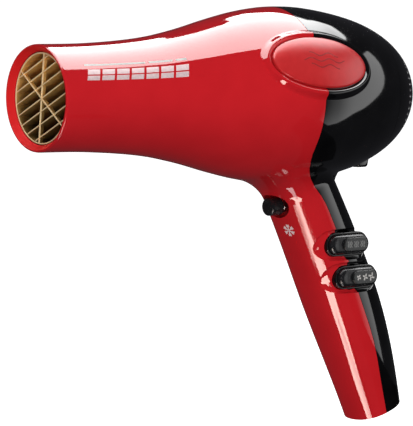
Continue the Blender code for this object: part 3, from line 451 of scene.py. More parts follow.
def housing_cage(front, rear, inset):
    """Coarse open cage: rings along the barrel, a square hole underneath, and rings down the handle."""
    bm = bmesh.new()
    stations = [front, *BODY_STATIONS, rear]
    rings = [[bm.verts.new(cage_point(x, k)) for k in range(CAGE_RING)] for x in stations]
    low, high = HOLE_SIDE
    first, last = HOLE_STATIONS[0] + 1, HOLE_STATIONS[1] + 1
    for i in range(len(stations) - 1):
        for k in range(CAGE_RING):
            if first <= i < last and low <= k < high:
                continue
            n = (k + 1) % CAGE_RING
            bm.faces.new((rings[i][k], rings[i][n], rings[i + 1][n], rings[i + 1][k]))
    across = list(range(low, high + 1))
    loop = [rings[first][k] for k in across]
    loop += [rings[i][high] for i in range(first + 1, last + 1)]
    loop += [rings[last][k] for k in reversed(across[:-1])]
    loop += [rings[i][low] for i in range(last - 1, first, -1)]
    turns = [math.pi / 4 - 2 * math.pi * j / CAGE_RING for j in range(CAGE_RING)]
    levels = [[handle_point(z, t) for t in turns] for z in HANDLE_STATIONS]
    levels.append([handle_end_point(t, inset) for t in turns])
    for level in levels:
        ring = [bm.verts.new(p) for p in level]
        join_rings(bm, loop, ring)
        loop = ring
    return bm


def settle(points, offset, fixed_x, on_end):
    """Moves points onto the housing surface, offset outwards. Ends stay in their planes."""
    normal = np.array(end_normal())
    for _ in range(7):
        value = housing_field(points) - offset
        gradient = field_gradient(points)
        gradient[fixed_x, 0] = 0
        gradient[on_end] -= np.outer(gradient[on_end] @ normal, normal)
        points -= gradient * (value / np.maximum((gradient ** 2).sum(1), 1e-6))[:, None]
    return points


def housing_skin(front, rear, offset, inset, levels):
    """Closed solid bounded by the housing surface, offset outwards, between two planes across the barrel."""
    obj = add("cage", housing_cage(front, rear, inset))
    subdivision = obj.modifiers.new("subdivision", "SUBSURF")
    subdivision.levels = subdivision.render_levels = levels
    bake(obj)
    bm = bmesh.new()
    bm.from_mesh(obj.data)
    bpy.data.objects.remove(obj)
    bmesh.ops.delete(bm, geom=[v for v in bm.verts if not v.link_faces], context="VERTS")
    points = np.array([v.co for v in bm.verts], float)
    edge = np.array([v.is_boundary for v in bm.verts])
    flat = edge & ((points[:, 0] < front + 1) | (np.abs(points[:, 0] - rear) < 1)) & (points[:, 2] > -100)
    points = settle(points, offset, flat, edge & ~flat)
    for vert, place in zip(bm.verts, points):
        vert.co = place
    bmesh.ops.holes_fill(bm, edges=[e for e in bm.edges if e.is_boundary], sides=0)
    return bm


def round_the_mouth(bm):
    """Carries the flat front of the skin forward through the rings of the rounded lip."""
    bm.normal_update()
    near = [f for f in bm.faces if len(f.verts) > 8 and f.calc_center_median().x < 5]
    front = max(near, key=lambda f: len(f.verts))
    ring = list(front.verts)
    bm.faces.remove(front)
    for along, radius in MOUTH_LIP:
        fresh = []
        for vert in ring:
            out = math.hypot(vert.co.y, vert.co.z)
            fresh.append(bm.verts.new((along, vert.co.y * radius / out, vert.co.z * radius / out)))
        join_rings(bm, ring, fresh)
        ring = fresh
    bm.faces.new(ring)


# ---------------------------------------------------------------- badge and collar

def badge_axes(side):
    normal = Vector((0, side * math.cos(BADGE_FACE), math.sin(BADGE_FACE)))
    along = Vector((1, 0, 0))
    across = Vector((0, -side * math.sin(BADGE_FACE), math.cos(BADGE_FACE)))
    c, s = math.cos(BADGE_TILT), math.sin(BADGE_TILT)
    return along * c + across * s, across * c - along * s, normal


def on_badge(side, u, v, height):
    """Point above the barrel at (u, v) in the badge's plane."""
    along, across, normal = badge_axes(side)
    point = Vector((BADGE_X, 0, 0)) + along * u + across * v
    reach = float(barrel_radius(point.x)) + height
    dot = point.y * normal.y + point.z * normal.z
    inside = reach ** 2 - point.y ** 2 - point.z ** 2 + dot ** 2
    return point + normal * (math.sqrt(inside) - dot)


def collar_profile():
    """(outward, height) round the collar: up its inner side, over the crest and down into the barrel."""
    crown = curve_through(COLLAR)
    rise = [(out, float(crown(out))) for out in np.linspace(COLLAR[0][0], COLLAR[-1][0], 30)]
    return [(COLLAR[0][0], -1.2), *rise, (6.6, -0.3), (6.6, -1.3)]


def collar_mesh(side, steps=120):
    bm = bmesh.new()
    rings = []
    for outward, height in collar_profile():
        a, b = BADGE_HALF[0] + outward, BADGE_HALF[1] + outward
        rings.append([bm.verts.new(on_badge(side, a * math.cos(t), b * math.sin(t), height))
                      for t in (2 * math.pi * k / steps for k in range(steps))])
    for i, ring in enumerate(rings):
        join_rings(bm, rings[i - 1], ring)
    return bm


def plate_mesh(side, steps=120):
    bm = bmesh.new()
    rings = []
    for share, height in PLATE:
        count = 1 if share == 0 else steps
        rings.append([bm.verts.new(on_badge(side, BADGE_HALF[0] * share * math.cos(t),
                                            BADGE_HALF[1] * share * math.sin(t), height))
                      for t in (2 * math.pi * k / steps for k in range(count))])
    for before, ring in zip(rings, rings[1:]):
        for k in range(steps):
            n = (k + 1) % steps
            inner, outer = len(before), len(ring)
            corners = [before[k % inner], before[n % inner], ring[n % outer], ring[k % outer]]
            bm.faces.new(list(dict.fromkeys(corners)))
    return bm


# ---------------------------------------------------------------- housings

def seam_prism(side):
    heights = [70, *range(-18, -67, -4), -71, -76, -82, -88, -95, -102, -110, -118, -126, -135, -144, -153,
               -162, -172, -183, -195]
    outline = [(float(seam_x(z)) + side * GAP / 2, z) for z in heights]
    far = -30 if side < 0 else 275
    outline += [(far, heights[-1]), (far, heights[0])]
    return add("prism", prism(outline, -70, 70))


def rocker_place(name):
    """Middle (x, z), length and height of a rocker, from its CAD solid."""
    low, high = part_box(f"{name}_rocker")
    middle = ((low + high) / 2 - ORIGIN) / MM
    return (middle.x, middle.z), (high.x - low.x) / MM, (high.z - low.z) / MM


def straight_pill(length, height, near, far, at, steps=20):
    bm = prism(pill_outline(length, height, 0, at, steps), near, far)
    bmesh.ops.remove_doubles(bm, verts=bm.verts, dist=1e-4)
    return bm


def side_surface(x, z):
    """y of the handle's -Y surface at each (x, z), found by halving."""
    outer, inner = np.full(len(x), -30.0), np.zeros(len(x))
    for _ in range(24):
        middle = (outer + inner) / 2
        inside = housing_field(np.stack([x, middle, z], 1)) < 0
        inner = np.where(inside, middle, inner)
        outer = np.where(inside, outer, middle)
    return inner


def dish_cutter(name):
    """Shallow recess round a rocker that follows the handle's surface, with a sloping wall."""
    (x, z), length, height = rocker_place(name)
    bm = bmesh.new()
    rings = []
    for inset, depth in ((-1.6, -4.0), (-0.5, -0.35), (0.0, 0.0), (0.5, 0.5), (1.1, 0.72), (2.6, DISH_DEPTH),
                         (4.6, DISH_DEPTH), (6.4, DISH_DEPTH), (7.7, DISH_DEPTH)):
        outline = np.array(pill_outline(length + 10.5, height + 5.4, inset, (x - 2.2, z), 20))
        y = side_surface(outline[:, 0], outline[:, 1]) + depth
        if depth == -4.0:
            y[:] = -26.0
        rings.append([bm.verts.new((px, py, pz)) for (px, pz), py in zip(outline, y)])
    bm.faces.new(rings[0])
    bm.faces.new(rings[-1])
    for low, high in zip(rings, rings[1:]):
        join_rings(bm, low, high)
    bmesh.ops.remove_doubles(bm, verts=bm.verts, dist=1e-4)
    return add("dish", bm)


def make_housings():
    skin = housing_skin(MOUTH_START, REAR_OPENING, 0.0, 0.0, 3)
    round_the_mouth(skin)
    shell = add("shell", skin)
    inner = add("inner", housing_skin(MOUTH_START + 5.5, REAR_OPENING + 5, -WALL, END_WALL, 2))
    core = add("core", housing_skin(MOUTH_START + 2.0, REAR_OPENING - 2.0, -WALL / 2, END_WALL / 2, 2))
    for side in (-1, 1):
        boolean(shell, add("collar", collar_mesh(side)), "UNION")
    boolean(shell, inner, "DIFFERENCE")
    cup = add("cup", turned_mesh(rod_profile(136, COOL_FLOOR + 2.2, COOL_BORE + 2.0), 48, (0, 0, COOL_Z),
                                 phase=OFF_PLANE))
    boolean(shell, boolean(cup, core, "INTERSECT"), "UNION")

    mouth = [(-5, 0), (-5, 25.4), (0.02, 25.4), (3.2, MOUTH_BORE), (12, MOUTH_BORE), (12, 0)]
    boolean(shell, add("mouth", turned_mesh(mouth, 128)), "DIFFERENCE")
    cut = [(130, 0), (130, COOL_MOUTH), (150, COOL_MOUTH), (COOL_FLOOR, COOL_BORE), (COOL_FLOOR, 0)]
    well = turned_mesh(cut, 64, phase=OFF_PLANE)
    for vert in well.verts:
        if vert.co.x < 151:
            vert.co.z *= COOL_BORE / COOL_MOUTH
    bmesh.ops.translate(well, vec=(0, 0, COOL_Z), verts=well.verts)
    boolean(shell, add("well", well), "DIFFERENCE")
    hole = turned_mesh(rod_profile(150, 175, STEM_HOLE), 32, (0, 0, COOL_Z), phase=OFF_PLANE)
    boolean(shell, add("stem_hole", hole), "DIFFERENCE")
    for name in ("heat", "speed"):
        low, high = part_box(f"{name}_bezel")
        middle = ((low + high) / 2 - ORIGIN) / MM
        size = ((high.x - low.x) / MM + 2 * GAP, (high.z - low.z) / MM + 2 * GAP)
        boolean(shell, dish_cutter(name), "DIFFERENCE")
        pocket = straight_pill(*size, -40, -9.0, (middle.x, middle.z))
        boolean(shell, add("pocket", pocket), "DIFFERENCE")
    for number in (1, 2):
        low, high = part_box(f"housing_screw_{number}")
        way = Vector((-math.cos(SCREW_LEAN), 0, -math.sin(SCREW_LEAN)))
        head = (Vector((high.x, 0, high.z)) - ORIGIN) / MM
        hole = turned_mesh(rod_profile(-16, 3.0, SCREW_HOLE), 40, head - Vector((1.2, 0, 2.4)), way,
                           OFF_PLANE)
        boolean(shell, add("screw_hole", hole), "DIFFERENCE")
    place = Vector((GLAND_X, 0, end_height(GLAND_X)))
    hole = turned_mesh(rod_profile(-10, 10, GLAND_HOLE), 64, place, end_normal(), OFF_PLANE)
    boolean(shell, add("gland_hole", hole), "DIFFERENCE")
    for name, side, slot, material, node in (("front_shell", -1, "red_gloss", RED, "front_housing"),
                                             ("rear_shell", 1, "black_gloss", BLACK, "rear_housing")):
        half = shell.copy()
        half.data = shell.data.copy()
        half.name = name
        bpy.context.scene.collection.objects.link(half)
        boolean(half, seam_prism(side), "INTERSECT")
        shade_shell(half)
        finish_piece(half, "housing", slot, material, node)
        if side < 0:
            dull_the_lip(half)
    bpy.data.objects.remove(shell)


def dull_the_lip(shell):
    """The sloping ring inside the outlet's lip has a matt finish."""
    shell.data.materials.append(RED_MATT)
    for face in shell.data.polygons:
        place = (face.center - ORIGIN) / MM
        if place.x < 3.3 and math.hypot(place.y, place.z) < 25.7:
            face.material_index = 1


# ---------------------------------------------------------------- badge, stripes and icons

def make_badges():
    for name, side in (("badge_right", -1), ("badge_left", 1)):
        plate = add(name + "_plate", plate_mesh(side))
        shade(plate)
        finish_piece(plate, "housing", "badge_red", BADGE_RED, name)
        shares, heights = zip(*PLATE[:9])

        def put(u, v, height):
            share = np.hypot(u / BADGE_HALF[0], v / BADGE_HALF[1])
            top = np.interp(share, shares, heights)
            return [on_badge(side, a, b, t + height) for a, b, t in zip(u, v, top)]

        # The wave lines are dark red strokes laid on the plate: painted shade standing in for engraved
        # grooves.
        waves = bmesh.new()
        for level, half in ((3.2, 9.0), (0.0, 13.0), (-3.2, 9.0)):
            u = np.linspace(-half, half, 40)
            inlay(waves, stroke(np.stack([u, level + 0.9 * np.sin(u * 0.55)], 1), 0.55, 3), put, 0.02)
        finish_piece(add(name + "_waves", waves), "housing", "badge_red", BADGE_WAVE_SHADE)


def on_barrel_side(u, v, height):
    """u is x, and v the angle above the horizontal on the -Y side, in degrees."""
    turn = np.radians(v)
    radius = barrel_radius(u) + height
    return np.stack([u, -radius * np.cos(turn), radius * np.sin(turn)], 1)


def make_stripes():
    """Plain slanted bars, each of two strips, and a thin line along the outlet end of the barrel."""
    bars = bmesh.new()
    for low, high in ((19.5, 24.7), (26.0, 31.8)):
        for k in range(7):
            start = 13.2 + 8.6 * k
            rows = []
            for u in np.linspace(start, start + 7.2, 5):
                rows.append([(u + 0.17 * (v - 20.0), v) for v in np.linspace(low, high, 5)])
            inlay(bars, rows, on_barrel_side)
    finish_piece(add("barrel_bars", bars), "housing", "red_gloss", SILVER_PRINT)
    line = bmesh.new()
    for begin, end in ((14.0, 50.0), (52.0, 66.0), (68.0, 74.0)):
        inlay(line, stroke([(u, 37.6) for u in np.linspace(begin, end, 20)], 2.2, 4), on_barrel_side)
    finish_piece(add("barrel_line", line), "housing", "red_gloss", GREY_PRINT)


def make_snowflake():
    """Cool-air symbol on the front of the handle: six arms with chevrons."""
    anchor = onto_housing([(157.0, -4.6, -74.0)], 0.0)[0]
    normal = field_gradient(anchor[None])[0]
    normal /= np.linalg.norm(normal)
    across = np.cross((0, 0, 1.0), normal)
    across /= np.linalg.norm(across)
    upward = np.cross(normal, across)

    def put(u, v, height):
        flat = anchor + np.outer(u, across) + np.outer(v, upward)
        return onto_housing(flat, height)

    bm = bmesh.new()
    for k in range(6):
        turn = math.pi * k / 3 + math.pi / 6
        c, s = math.cos(turn), math.sin(turn)

        def spin(points):
            return [(x * c - y * s, x * s + y * c) for x, y in points]

        inlay(bm, stroke(spin([(0.3, 0), (1.2, 0), (2.2, 0), (3.4, 0)]), 0.6), put)
        for reach in (1.7, 2.5):
            for side in (-1, 1):
                chevron = [(reach, 0), (reach + 0.45, side * 0.45), (reach + 0.9, side * 0.9)]
                inlay(bm, stroke(spin(chevron), 0.45), put)
    finish_piece(add("snowflake", bm), "housing", "red_gloss", WHITE_PRINT)


# ---------------------------------------------------------------- outlet grille

def make_grille():
    low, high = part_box("outlet_grille")
    front = (low.x - ORIGIN.x) / MM
    depth = (high.x - low.x) / MM
    radius = (high.z - low.z) / MM / 2
    rear = front + depth
    rim = [(front + 0.1, radius - 0.75), (front, radius - 0.6), (front, radius - 0.3),
           (front + 0.1, radius - 0.1), (front + 0.3, radius), (rear, radius), (rear, radius - 1.0),
            (front + 1.0, radius - 1.0)]
    grille = add("gold_grille", turned_mesh(rim, 128))
    turn = Matrix.Rotation(-BLADE_ANGLE, 4, "X")
    edges = bmesh.new()
    for number in range(BLADE_COUNT):
        offset = (number - (BLADE_COUNT - 1) / 2) * BLADE_PITCH
        chord = 2 * math.sqrt((radius - 0.5) ** 2 - (abs(offset) + 0.4) ** 2)
        blade = box_mesh((depth - 0.6, chord, BLADE_THICK), turn @ Vector((front + depth / 2, 0, offset)),
                         turn)
        boolean(grille, add("blade", blade), "UNION")
        # Thin strips on the blades' front edges, and below on the bars', carry the brighter gold as a
        # painted highlight.
        edge = box_mesh((0.3, chord - 1.2, 0.5), turn @ Vector((front + 0.2, 0, offset)), turn)
        merge_into(edges, edge)
    for angle in BAR_ANGLES:
        turn = Matrix.Rotation(angle, 4, "X")
        merge_into(edges, box_mesh((0.7, 2 * radius - 1.6, 0.38), (front + 0.15, 0, 0), turn))
        bar = box_mesh((1.4, 2 * radius - 1.0, 0.6), (front + 1.4, 0, 0), turn)
        boolean(grille, add("bar", bar), "UNION")
    # The grille's body takes the darker gold, a painted shade that deepens towards the bottom.
    shade(grille)
    finish_piece(grille, "housing", "gold", GOLD_SHADED, "outlet_grille")
    finish_piece(add("gold_edge_painted_highlights", edges), "housing", "gold", GOLD)
    # The thin ring at the front of the rim is in the brighter gold, a painted highlight.
    ring = [(front - 0.05, radius - 0.78), (front - 0.12, radius - 0.68), (front - 0.12, radius - 0.25),
            (front, radius - 0.12), (front + 0.2, radius - 0.12), (front + 0.2, radius - 0.78)]
    rim = add("gold_rim", turned_mesh(ring, 128))
    shade(rim)
    finish_piece(rim, "housing", "gold", GOLD)


# ---------------------------------------------------------------- filter cover and latch

def make_filter_cover():
    """Domed cover, perforated with rings of small round holes."""
    stations = np.concatenate([np.linspace(COVER_START, 232, 12), np.linspace(233.5, 243.2, 9)])
    outside = [(x, float(barrel_radius(x))) for x in stations]
    inside = [(x - COVER_WALL, r - COVER_WALL * 0.8) for x, r in reversed(outside[4:-2])]
    skirt = [(214.5, 32.9), (206.3, 33.1), (206.3, 34.4), (COVER_START, 34.4)]
    profile = [*outside, (243.9, 0), (243.9 - COVER_WALL, 0), *inside, *skirt]
    cover = add("perforated_cover", turned_mesh(profile, 128))
    holes = bmesh.new()
    for ring in HOLE_RINGS:
        distance = ring * HOLE_PITCH
        count = int(2 * math.pi * distance / (HOLE_PITCH * 1.06))
        for k in range(count):
            turn = 2 * math.pi * (k + 0.5 * (ring % 2)) / count
            place = (0, distance * math.sin(turn), distance * math.cos(turn))
            over_latch = ring == HOLE_RINGS[-1] and abs(turn - math.pi) < 0.32
            if not over_latch:
                merge_into(holes, turned_mesh(rod_profile(216, 260, HOLE_RADIUS), 12, place))
    boolean(cover, add("holes", holes), "DIFFERENCE")
    low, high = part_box("filter_latch")
    middle = ((low + high) / 2 - ORIGIN) / MM
    length, width, tall = ((high - low) / MM)[:]
    boolean(cover, add("opening", box_mesh((length + 2 * GAP, width + 2 * GAP, 12), middle)), "DIFFERENCE")
    shade(cover, 30)
    finish_piece(cover, "filter_cover", "black_gloss", BLACK, "filter_cover")

    body = box_mesh((length, width, tall), middle)
    for vert in body.verts:
        if vert.co.z < middle.z:
            vert.co.x = middle.x + (vert.co.x - middle.x) * LATCH_TAPER
            vert.co.y *= LATCH_TAPER
    latch = add("ribbed_latch", body)
    bevel = latch.modifiers.new("rounded", "BEVEL")
    bevel.width = 1.3
    bevel.segments = 6
    bake(latch)
    for k in (-1, 0, 1):
        groove = box_mesh((0.7, width + 2, 0.9), (middle.x + 2.2 * k, 0, middle.z - tall / 2))
        boolean(latch, add("groove", groove), "DIFFERENCE")
    shade(latch)
    finish_piece(latch, "filter_latch", "black_gloss", BLACK, "filter_latch")


# ---------------------------------------------------------------- switches

def make_rockers():
    for name in ("heat", "speed"):
        (x, z), length, height = rocker_place(name)
        low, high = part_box(f"{name}_rocker")
        face, back = (low.y - ORIGIN.y) / MM, (high.y - ORIGIN.y) / MM

        def rise(u):
            """The nose at the front end sits lower than the label face."""
            t = min(max((-u - 3.5) / 5.0, 0.0), 1.0)
            return 1.3 * t * t * (3 - 2 * t)

        rocker = add(f"{name}_key", pillow(length, height, (x, z), back, face, 2.6, 20, rise))
        shade(rocker, 50)
        finish_piece(rocker, f"{name}_rocker", "black_gloss", KEY_BLACK, f"{name}_rocker")

        label = add(f"{name}_label", pillow(17.0, 7.2, (x + 3.0, z), face + 0.9, face - 0.22, 0.35, 20))
        shade(label, 50)
        finish_piece(label, f"{name}_rocker", "black_gloss", LABEL_BLACK)
        make_icons(name, x + 3.0, z, face - 0.22)

        low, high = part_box(f"{name}_bezel")
        outer = ((high.x - low.x) / MM, (high.z - low.z) / MM)
        front, rear = (low.y - ORIGIN.y) / MM, (high.y - ORIGIN.y) / MM
        bezel = add(f"{name}_frame", pillow(*outer, (x, z), rear, front, 0.4, 20))
        well = straight_pill(length + 1.6, height + 0.8, front - 5, rear - 1.4, (x, z), 24)
        boolean(bezel, add("well", well), "DIFFERENCE")
        shade(bezel, 40)
        finish_piece(bezel, "housing", "black_gloss", BLACK, f"{name}_bezel")


def make_icons(name, x, z, face):
    """Three heat-wave groups on one rocker, three fans of growing size on the other."""
    def put(u, v, height):
        return np.stack([x + u, np.full(len(u), face - height), z + v], 1)

    bm = bmesh.new()
    for place in (-1, 0, 1):
        if name == "heat":
            for k in (-1, 0, 1):
                v = np.linspace(-1.7, 1.7, 13)
                u = place * 4.6 + 1.15 * k + 0.28 * np.sin(v * 2.8)
                inlay(bm, stroke(np.stack([u, v], 1), 0.5), put, 0.03, -0.1)
            continue
        size = 1.5 + 0.35 * (place + 1)
        for k in range(4):
            turn = math.pi / 4 + math.pi / 2 * k
            inlay(bm, stroke([(place * 4.6 + r * math.cos(turn + 0.25 * r), r * math.sin(turn + 0.25 * r))
                              for r in np.linspace(0.35, size, 5)], 0.85), put, 0.03, -0.1)
    ink = DIM_PRINT if name == "heat" else GREY_PRINT
    finish_piece(add(f"{name}_icons", bm), f"{name}_rocker", "black_gloss", ink)


def make_cool_button():
    low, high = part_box("cool_shot_button")
    start = (low.x - ORIGIN.x) / MM
    end = (high.x - ORIGIN.x) / MM
    radius = (high.z - low.z) / MM / 2
    cap = start + 8.2
    profile = [(start + 0.25, 0), (start + 0.1, 2.4), (start, 3.4)]
    for k in range(1, 7):
        a = math.pi / 2 * k / 6
        profile.append((start + 1.3 * (1 - math.cos(a)), 3.4 + (radius - 3.4) * math.sin(a)))
    profile += [(cap - 0.3, radius), (cap, radius - 0.3), (cap, 1.7), (end, 1.7), (end, 0)]
    button = add("cool_button", turned_mesh(profile, 64, (0, 0, COOL_Z)))
    shade(button)
    finish_piece(button, "cool_shot_button", "black_gloss", KEY_BLACK, "cool_shot_button")


# ---------------------------------------------------------------- materials

def principled(name, colour, roughness, metallic=0.0, specular=0.5):
    material = bpy.data.materials.new(name)
    material.use_nodes = True
    shader = material.node_tree.nodes["Principled BSDF"]
    shader.inputs["Base Color"].default_value = (*colour, 1.0)
    shader.inputs["Roughness"].default_value = roughness
    shader.inputs["Metallic"].default_value = metallic
    shader.inputs["Specular IOR Level"].default_value = specular
    return material


def map_range(nodes, low, high, least, most):
    spans = nodes.new("ShaderNodeMapRange")
    for name, value in zip(("From Min", "From Max", "To Min", "To Max"), (low, high, least, most)):
        spans.inputs[name].default_value = value
    return spans


def textured(material, dark, light, scale, bump=0.0, bump_scale=None, roughness=None, stretch=None):
    """Adds fine noise: colour between dark and light, roughness between two values, and a small bump."""
    tree = material.node_tree
    nodes, links = tree.nodes, tree.links
    shader = nodes["Principled BSDF"]
    place = nodes.new("ShaderNodeTexCoord")
    source = place.outputs["Object"]
    if stretch:
        mapping = nodes.new("ShaderNodeMapping")
        mapping.inputs["Scale"].default_value = stretch
        links.new(source, mapping.inputs["Vector"])
        source = mapping.outputs["Vector"]
    noise = nodes.new("ShaderNodeTexNoise")
    noise.inputs["Scale"].default_value = scale
    noise.inputs["Detail"].default_value = 4.0
    noise.inputs["Roughness"].default_value = 0.5
    links.new(source, noise.inputs["Vector"])
    ramp = nodes.new("ShaderNodeValToRGB")
    ramp.color_ramp.elements[0].position = 0.3
    ramp.color_ramp.elements[0].color = (*dark, 1)
    ramp.color_ramp.elements[1].position = 0.7
    ramp.color_ramp.elements[1].color = (*light, 1)
    links.new(noise.outputs["Fac"], ramp.inputs["Fac"])
    links.new(ramp.outputs["Color"], shader.inputs["Base Color"])
    if roughness:
        spans = map_range(nodes, 0.0, 1.0, *roughness)
        links.new(noise.outputs["Fac"], spans.inputs["Value"])
        links.new(spans.outputs["Result"], shader.inputs["Roughness"])
    if bump:
        fine = nodes.new("ShaderNodeTexNoise")
        fine.inputs["Scale"].default_value = bump_scale or scale
        fine.inputs["Detail"].default_value = 2.0
        links.new(source, fine.inputs["Vector"])
        raised = nodes.new("ShaderNodeBump")
        raised.inputs["Strength"].default_value = bump
        raised.inputs["Distance"].default_value = 0.0002
        links.new(fine.outputs["Fac"], raised.inputs["Height"])
        links.new(raised.outputs["Normal"], shader.inputs["Normal"])
    return material


def graded(material, axis, low, high, least, most):
    """Scales the base colour along one axis of the object, from least at low to most at high."""
    tree = material.node_tree
    shader = tree.nodes["Principled BSDF"]
    colour = shader.inputs["Base Color"].links[0].from_socket
    place = tree.nodes.new("ShaderNodeTexCoord")
    split = tree.nodes.new("ShaderNodeSeparateXYZ")
    spans = map_range(tree.nodes, low, high, least, most)
    scaled = tree.nodes.new("ShaderNodeVectorMath")
    scaled.operation = "SCALE"
    tree.links.new(place.outputs["Object"], split.inputs["Vector"])
    tree.links.new(split.outputs[axis], spans.inputs["Value"])
    tree.links.new(colour, scaled.inputs["Vector"])
    tree.links.new(spans.outputs["Result"], scaled.inputs["Scale"])
    tree.links.new(scaled.outputs["Vector"], shader.inputs["Base Color"])
    return material


RED = textured(principled("red_gloss_plastic", (0.52, 0.012, 0.017), 0.04),
               (0.51, 0.0115, 0.0165), (0.55, 0.0130, 0.0185), 60, bump=0.004, bump_scale=300,
               roughness=(0.030, 0.045))
BADGE_RED = textured(principled("red_satin_plastic", (0.5, 0.018, 0.02), 0.3),
                     (0.47, 0.016, 0.018), (0.53, 0.021, 0.023), 220, bump=0.06, bump_scale=1600,
                     roughness=(0.26, 0.34))
# Dark red of the badge's wave strokes: painted shade for engraved grooves.
BADGE_WAVE_SHADE = textured(principled("wave_painted_shade_red", (0.2, 0.01, 0.01), 0.5),
                    (0.16, 0.006, 0.006), (0.24, 0.010, 0.010), 900, bump=0.1)
BLACK = textured(principled("black_gloss_plastic", (0.004, 0.004, 0.004), 0.06),
                 (0.0025, 0.0025, 0.0028), (0.0045, 0.0045, 0.005), 80, bump=0.004, bump_scale=300,
                 roughness=(0.045, 0.07))
KEY_BLACK = textured(principled("black_satin_plastic", (0.010, 0.010, 0.011), 0.25),
                     (0.007, 0.007, 0.008), (0.013, 0.013, 0.014), 300, bump=0.06, bump_scale=1500,
                     roughness=(0.22, 0.30))
LABEL_BLACK = textured(principled("black_label_plastic", (0.013, 0.014, 0.014), 0.3),
                       (0.010, 0.011, 0.011), (0.016, 0.017, 0.017), 400, bump=0.05, bump_scale=1800,
                       roughness=(0.24, 0.32))
# Brighter copy of the gold coating, lightened as a painted highlight. It colours the grille's edge strips,
# its front ring and the gold slot.
GOLD = textured(principled("gold_ceramic_coating", (0.95, 0.74, 0.42), 0.35, 0.1),
                (0.92, 0.68, 0.36), (0.98, 0.78, 0.46), 500, bump=0.06, bump_scale=2200,
                roughness=(0.26, 0.36))
# Darker copy of the gold coating for the grille's body: painted shade, made darker still towards the bottom
# of the outlet by graded.
GOLD_SHADED = graded(textured(principled("gold_ceramic_coating_deep", (0.75, 0.48, 0.18), 0.35, 0.4),
                              (0.54, 0.30, 0.08), (0.70, 0.44, 0.15), 500, bump=0.12, bump_scale=2200,
                              roughness=(0.26, 0.40)), "Z", 0.055, 0.080, 0.35, 1.4)
SILVER_PRINT = textured(principled("silver_print", (0.7, 0.6, 0.6), 0.35, 0.2),
                        (0.62, 0.46, 0.47), (0.72, 0.57, 0.57), 900, roughness=(0.3, 0.4))
DIM_PRINT = textured(principled("dim_print", (0.2, 0.2, 0.2), 0.4),
                     (0.16, 0.16, 0.16), (0.22, 0.22, 0.21), 900, roughness=(0.35, 0.45))
RED_MATT = textured(principled("red_matt_plastic", (0.6, 0.012, 0.014), 0.5, specular=0.15),
                    (0.58, 0.0125, 0.0135), (0.64, 0.0145, 0.0155), 60, bump=0.02, bump_scale=900,
                    roughness=(0.45, 0.6))
GREY_PRINT = textured(principled("grey_print", (0.4, 0.4, 0.4), 0.4),
                      (0.42, 0.40, 0.38), (0.52, 0.50, 0.48), 900, roughness=(0.35, 0.45))
WHITE_PRINT = textured(principled("white_print", (0.8, 0.7, 0.7), 0.4),
                       (0.74, 0.56, 0.56), (0.82, 0.66, 0.66), 900, roughness=(0.35, 0.45))
STEEL = textured(principled("brushed_steel", (0.6, 0.6, 0.62), 0.35, 1.0),
                 (0.50, 0.50, 0.52), (0.66, 0.66, 0.68), 300, bump=0.08, roughness=(0.25, 0.45),
                 stretch=(1.0, 12.0, 12.0))
COPPER = textured(principled("copper_winding", (0.7, 0.35, 0.2), 0.35, 1.0),
                  (0.52, 0.22, 0.10), (0.80, 0.42, 0.24), 250, bump=0.5, roughness=(0.25, 0.4),
                  stretch=(1.0, 9.0, 9.0))
NYLON = textured(principled("heat_resistant_nylon", (0.05, 0.05, 0.055), 0.5),
                 (0.040, 0.040, 0.044), (0.060, 0.060, 0.066), 400, bump=0.25, bump_scale=1500,
                 roughness=(0.42, 0.58))
GRAPHITE = textured(principled("graphite_brush", (0.03, 0.03, 0.03), 0.6),
                    (0.020, 0.020, 0.020), (0.045, 0.045, 0.047), 1500, bump=0.3, roughness=(0.5, 0.7))
RUBBER = textured(principled("black_rubber", (0.02, 0.02, 0.02), 0.7),
                  (0.014, 0.014, 0.014), (0.026, 0.026, 0.026), 700, bump=0.3, roughness=(0.6, 0.8))
MICA = textured(principled("mica_board", (0.5, 0.42, 0.3), 0.5),
                (0.36, 0.27, 0.16), (0.62, 0.52, 0.36), 220, bump=0.2, bump_scale=900, roughness=(0.3, 0.6))
BROWN = textured(principled("brown_insulation", (0.16, 0.06, 0.03), 0.45),
                 (0.13, 0.045, 0.022), (0.19, 0.075, 0.04), 700, bump=0.05, roughness=(0.4, 0.5))
BLUE = textured(principled("blue_insulation", (0.02, 0.10, 0.45), 0.45),
                (0.015, 0.08, 0.38), (0.03, 0.13, 0.52), 700, bump=0.05, roughness=(0.4, 0.5))
BY_SLOT = {"red_gloss": RED, "badge_red": BADGE_RED, "black_gloss": BLACK, "gold": GOLD, "steel": STEEL,
           "copper": COPPER, "nylon": NYLON, "graphite": GRAPHITE, "rubber": RUBBER, "mica": MICA,
           "brown_insulation": BROWN, "blue_insulation": BLUE}


def dress_cad_nodes():
    """Every carried-over CAD node takes the procedural material of its slot in the record."""
    for part in frame["record"]["subparts"]:
        node = frame["nodes"][part["node"]]
        node.data.materials.clear()
        node.data.materials.append(BY_SLOT[part["material_slot"]])


# ---------------------------------------------------------------- studio

CAMERA_TURN = (math.radians(-39.0), math.radians(4.2))
CAMERA_TARGET = Vector((-0.01488, 0.0, 0.00587))
CAMERA_DISTANCE = 1.1143
CAMERA_LENS = 181.1


def make_camera():
    turn, rise = CAMERA_TURN
    back = Vector((math.sin(turn) * math.cos(rise), -math.cos(turn) * math.cos(rise), math.sin(rise)))
    data = bpy.data.cameras.new("camera")
    data.lens = CAMERA_LENS
    data.sensor_width = 36.0
    camera = linked("camera", data)
    camera.location = CAMERA_TARGET + back * CAMERA_DISTANCE
    camera.rotation_mode = "QUATERNION"
    camera.rotation_quaternion = (-back).to_track_quat("-Z", "Y")
    bpy.context.scene.camera = camera


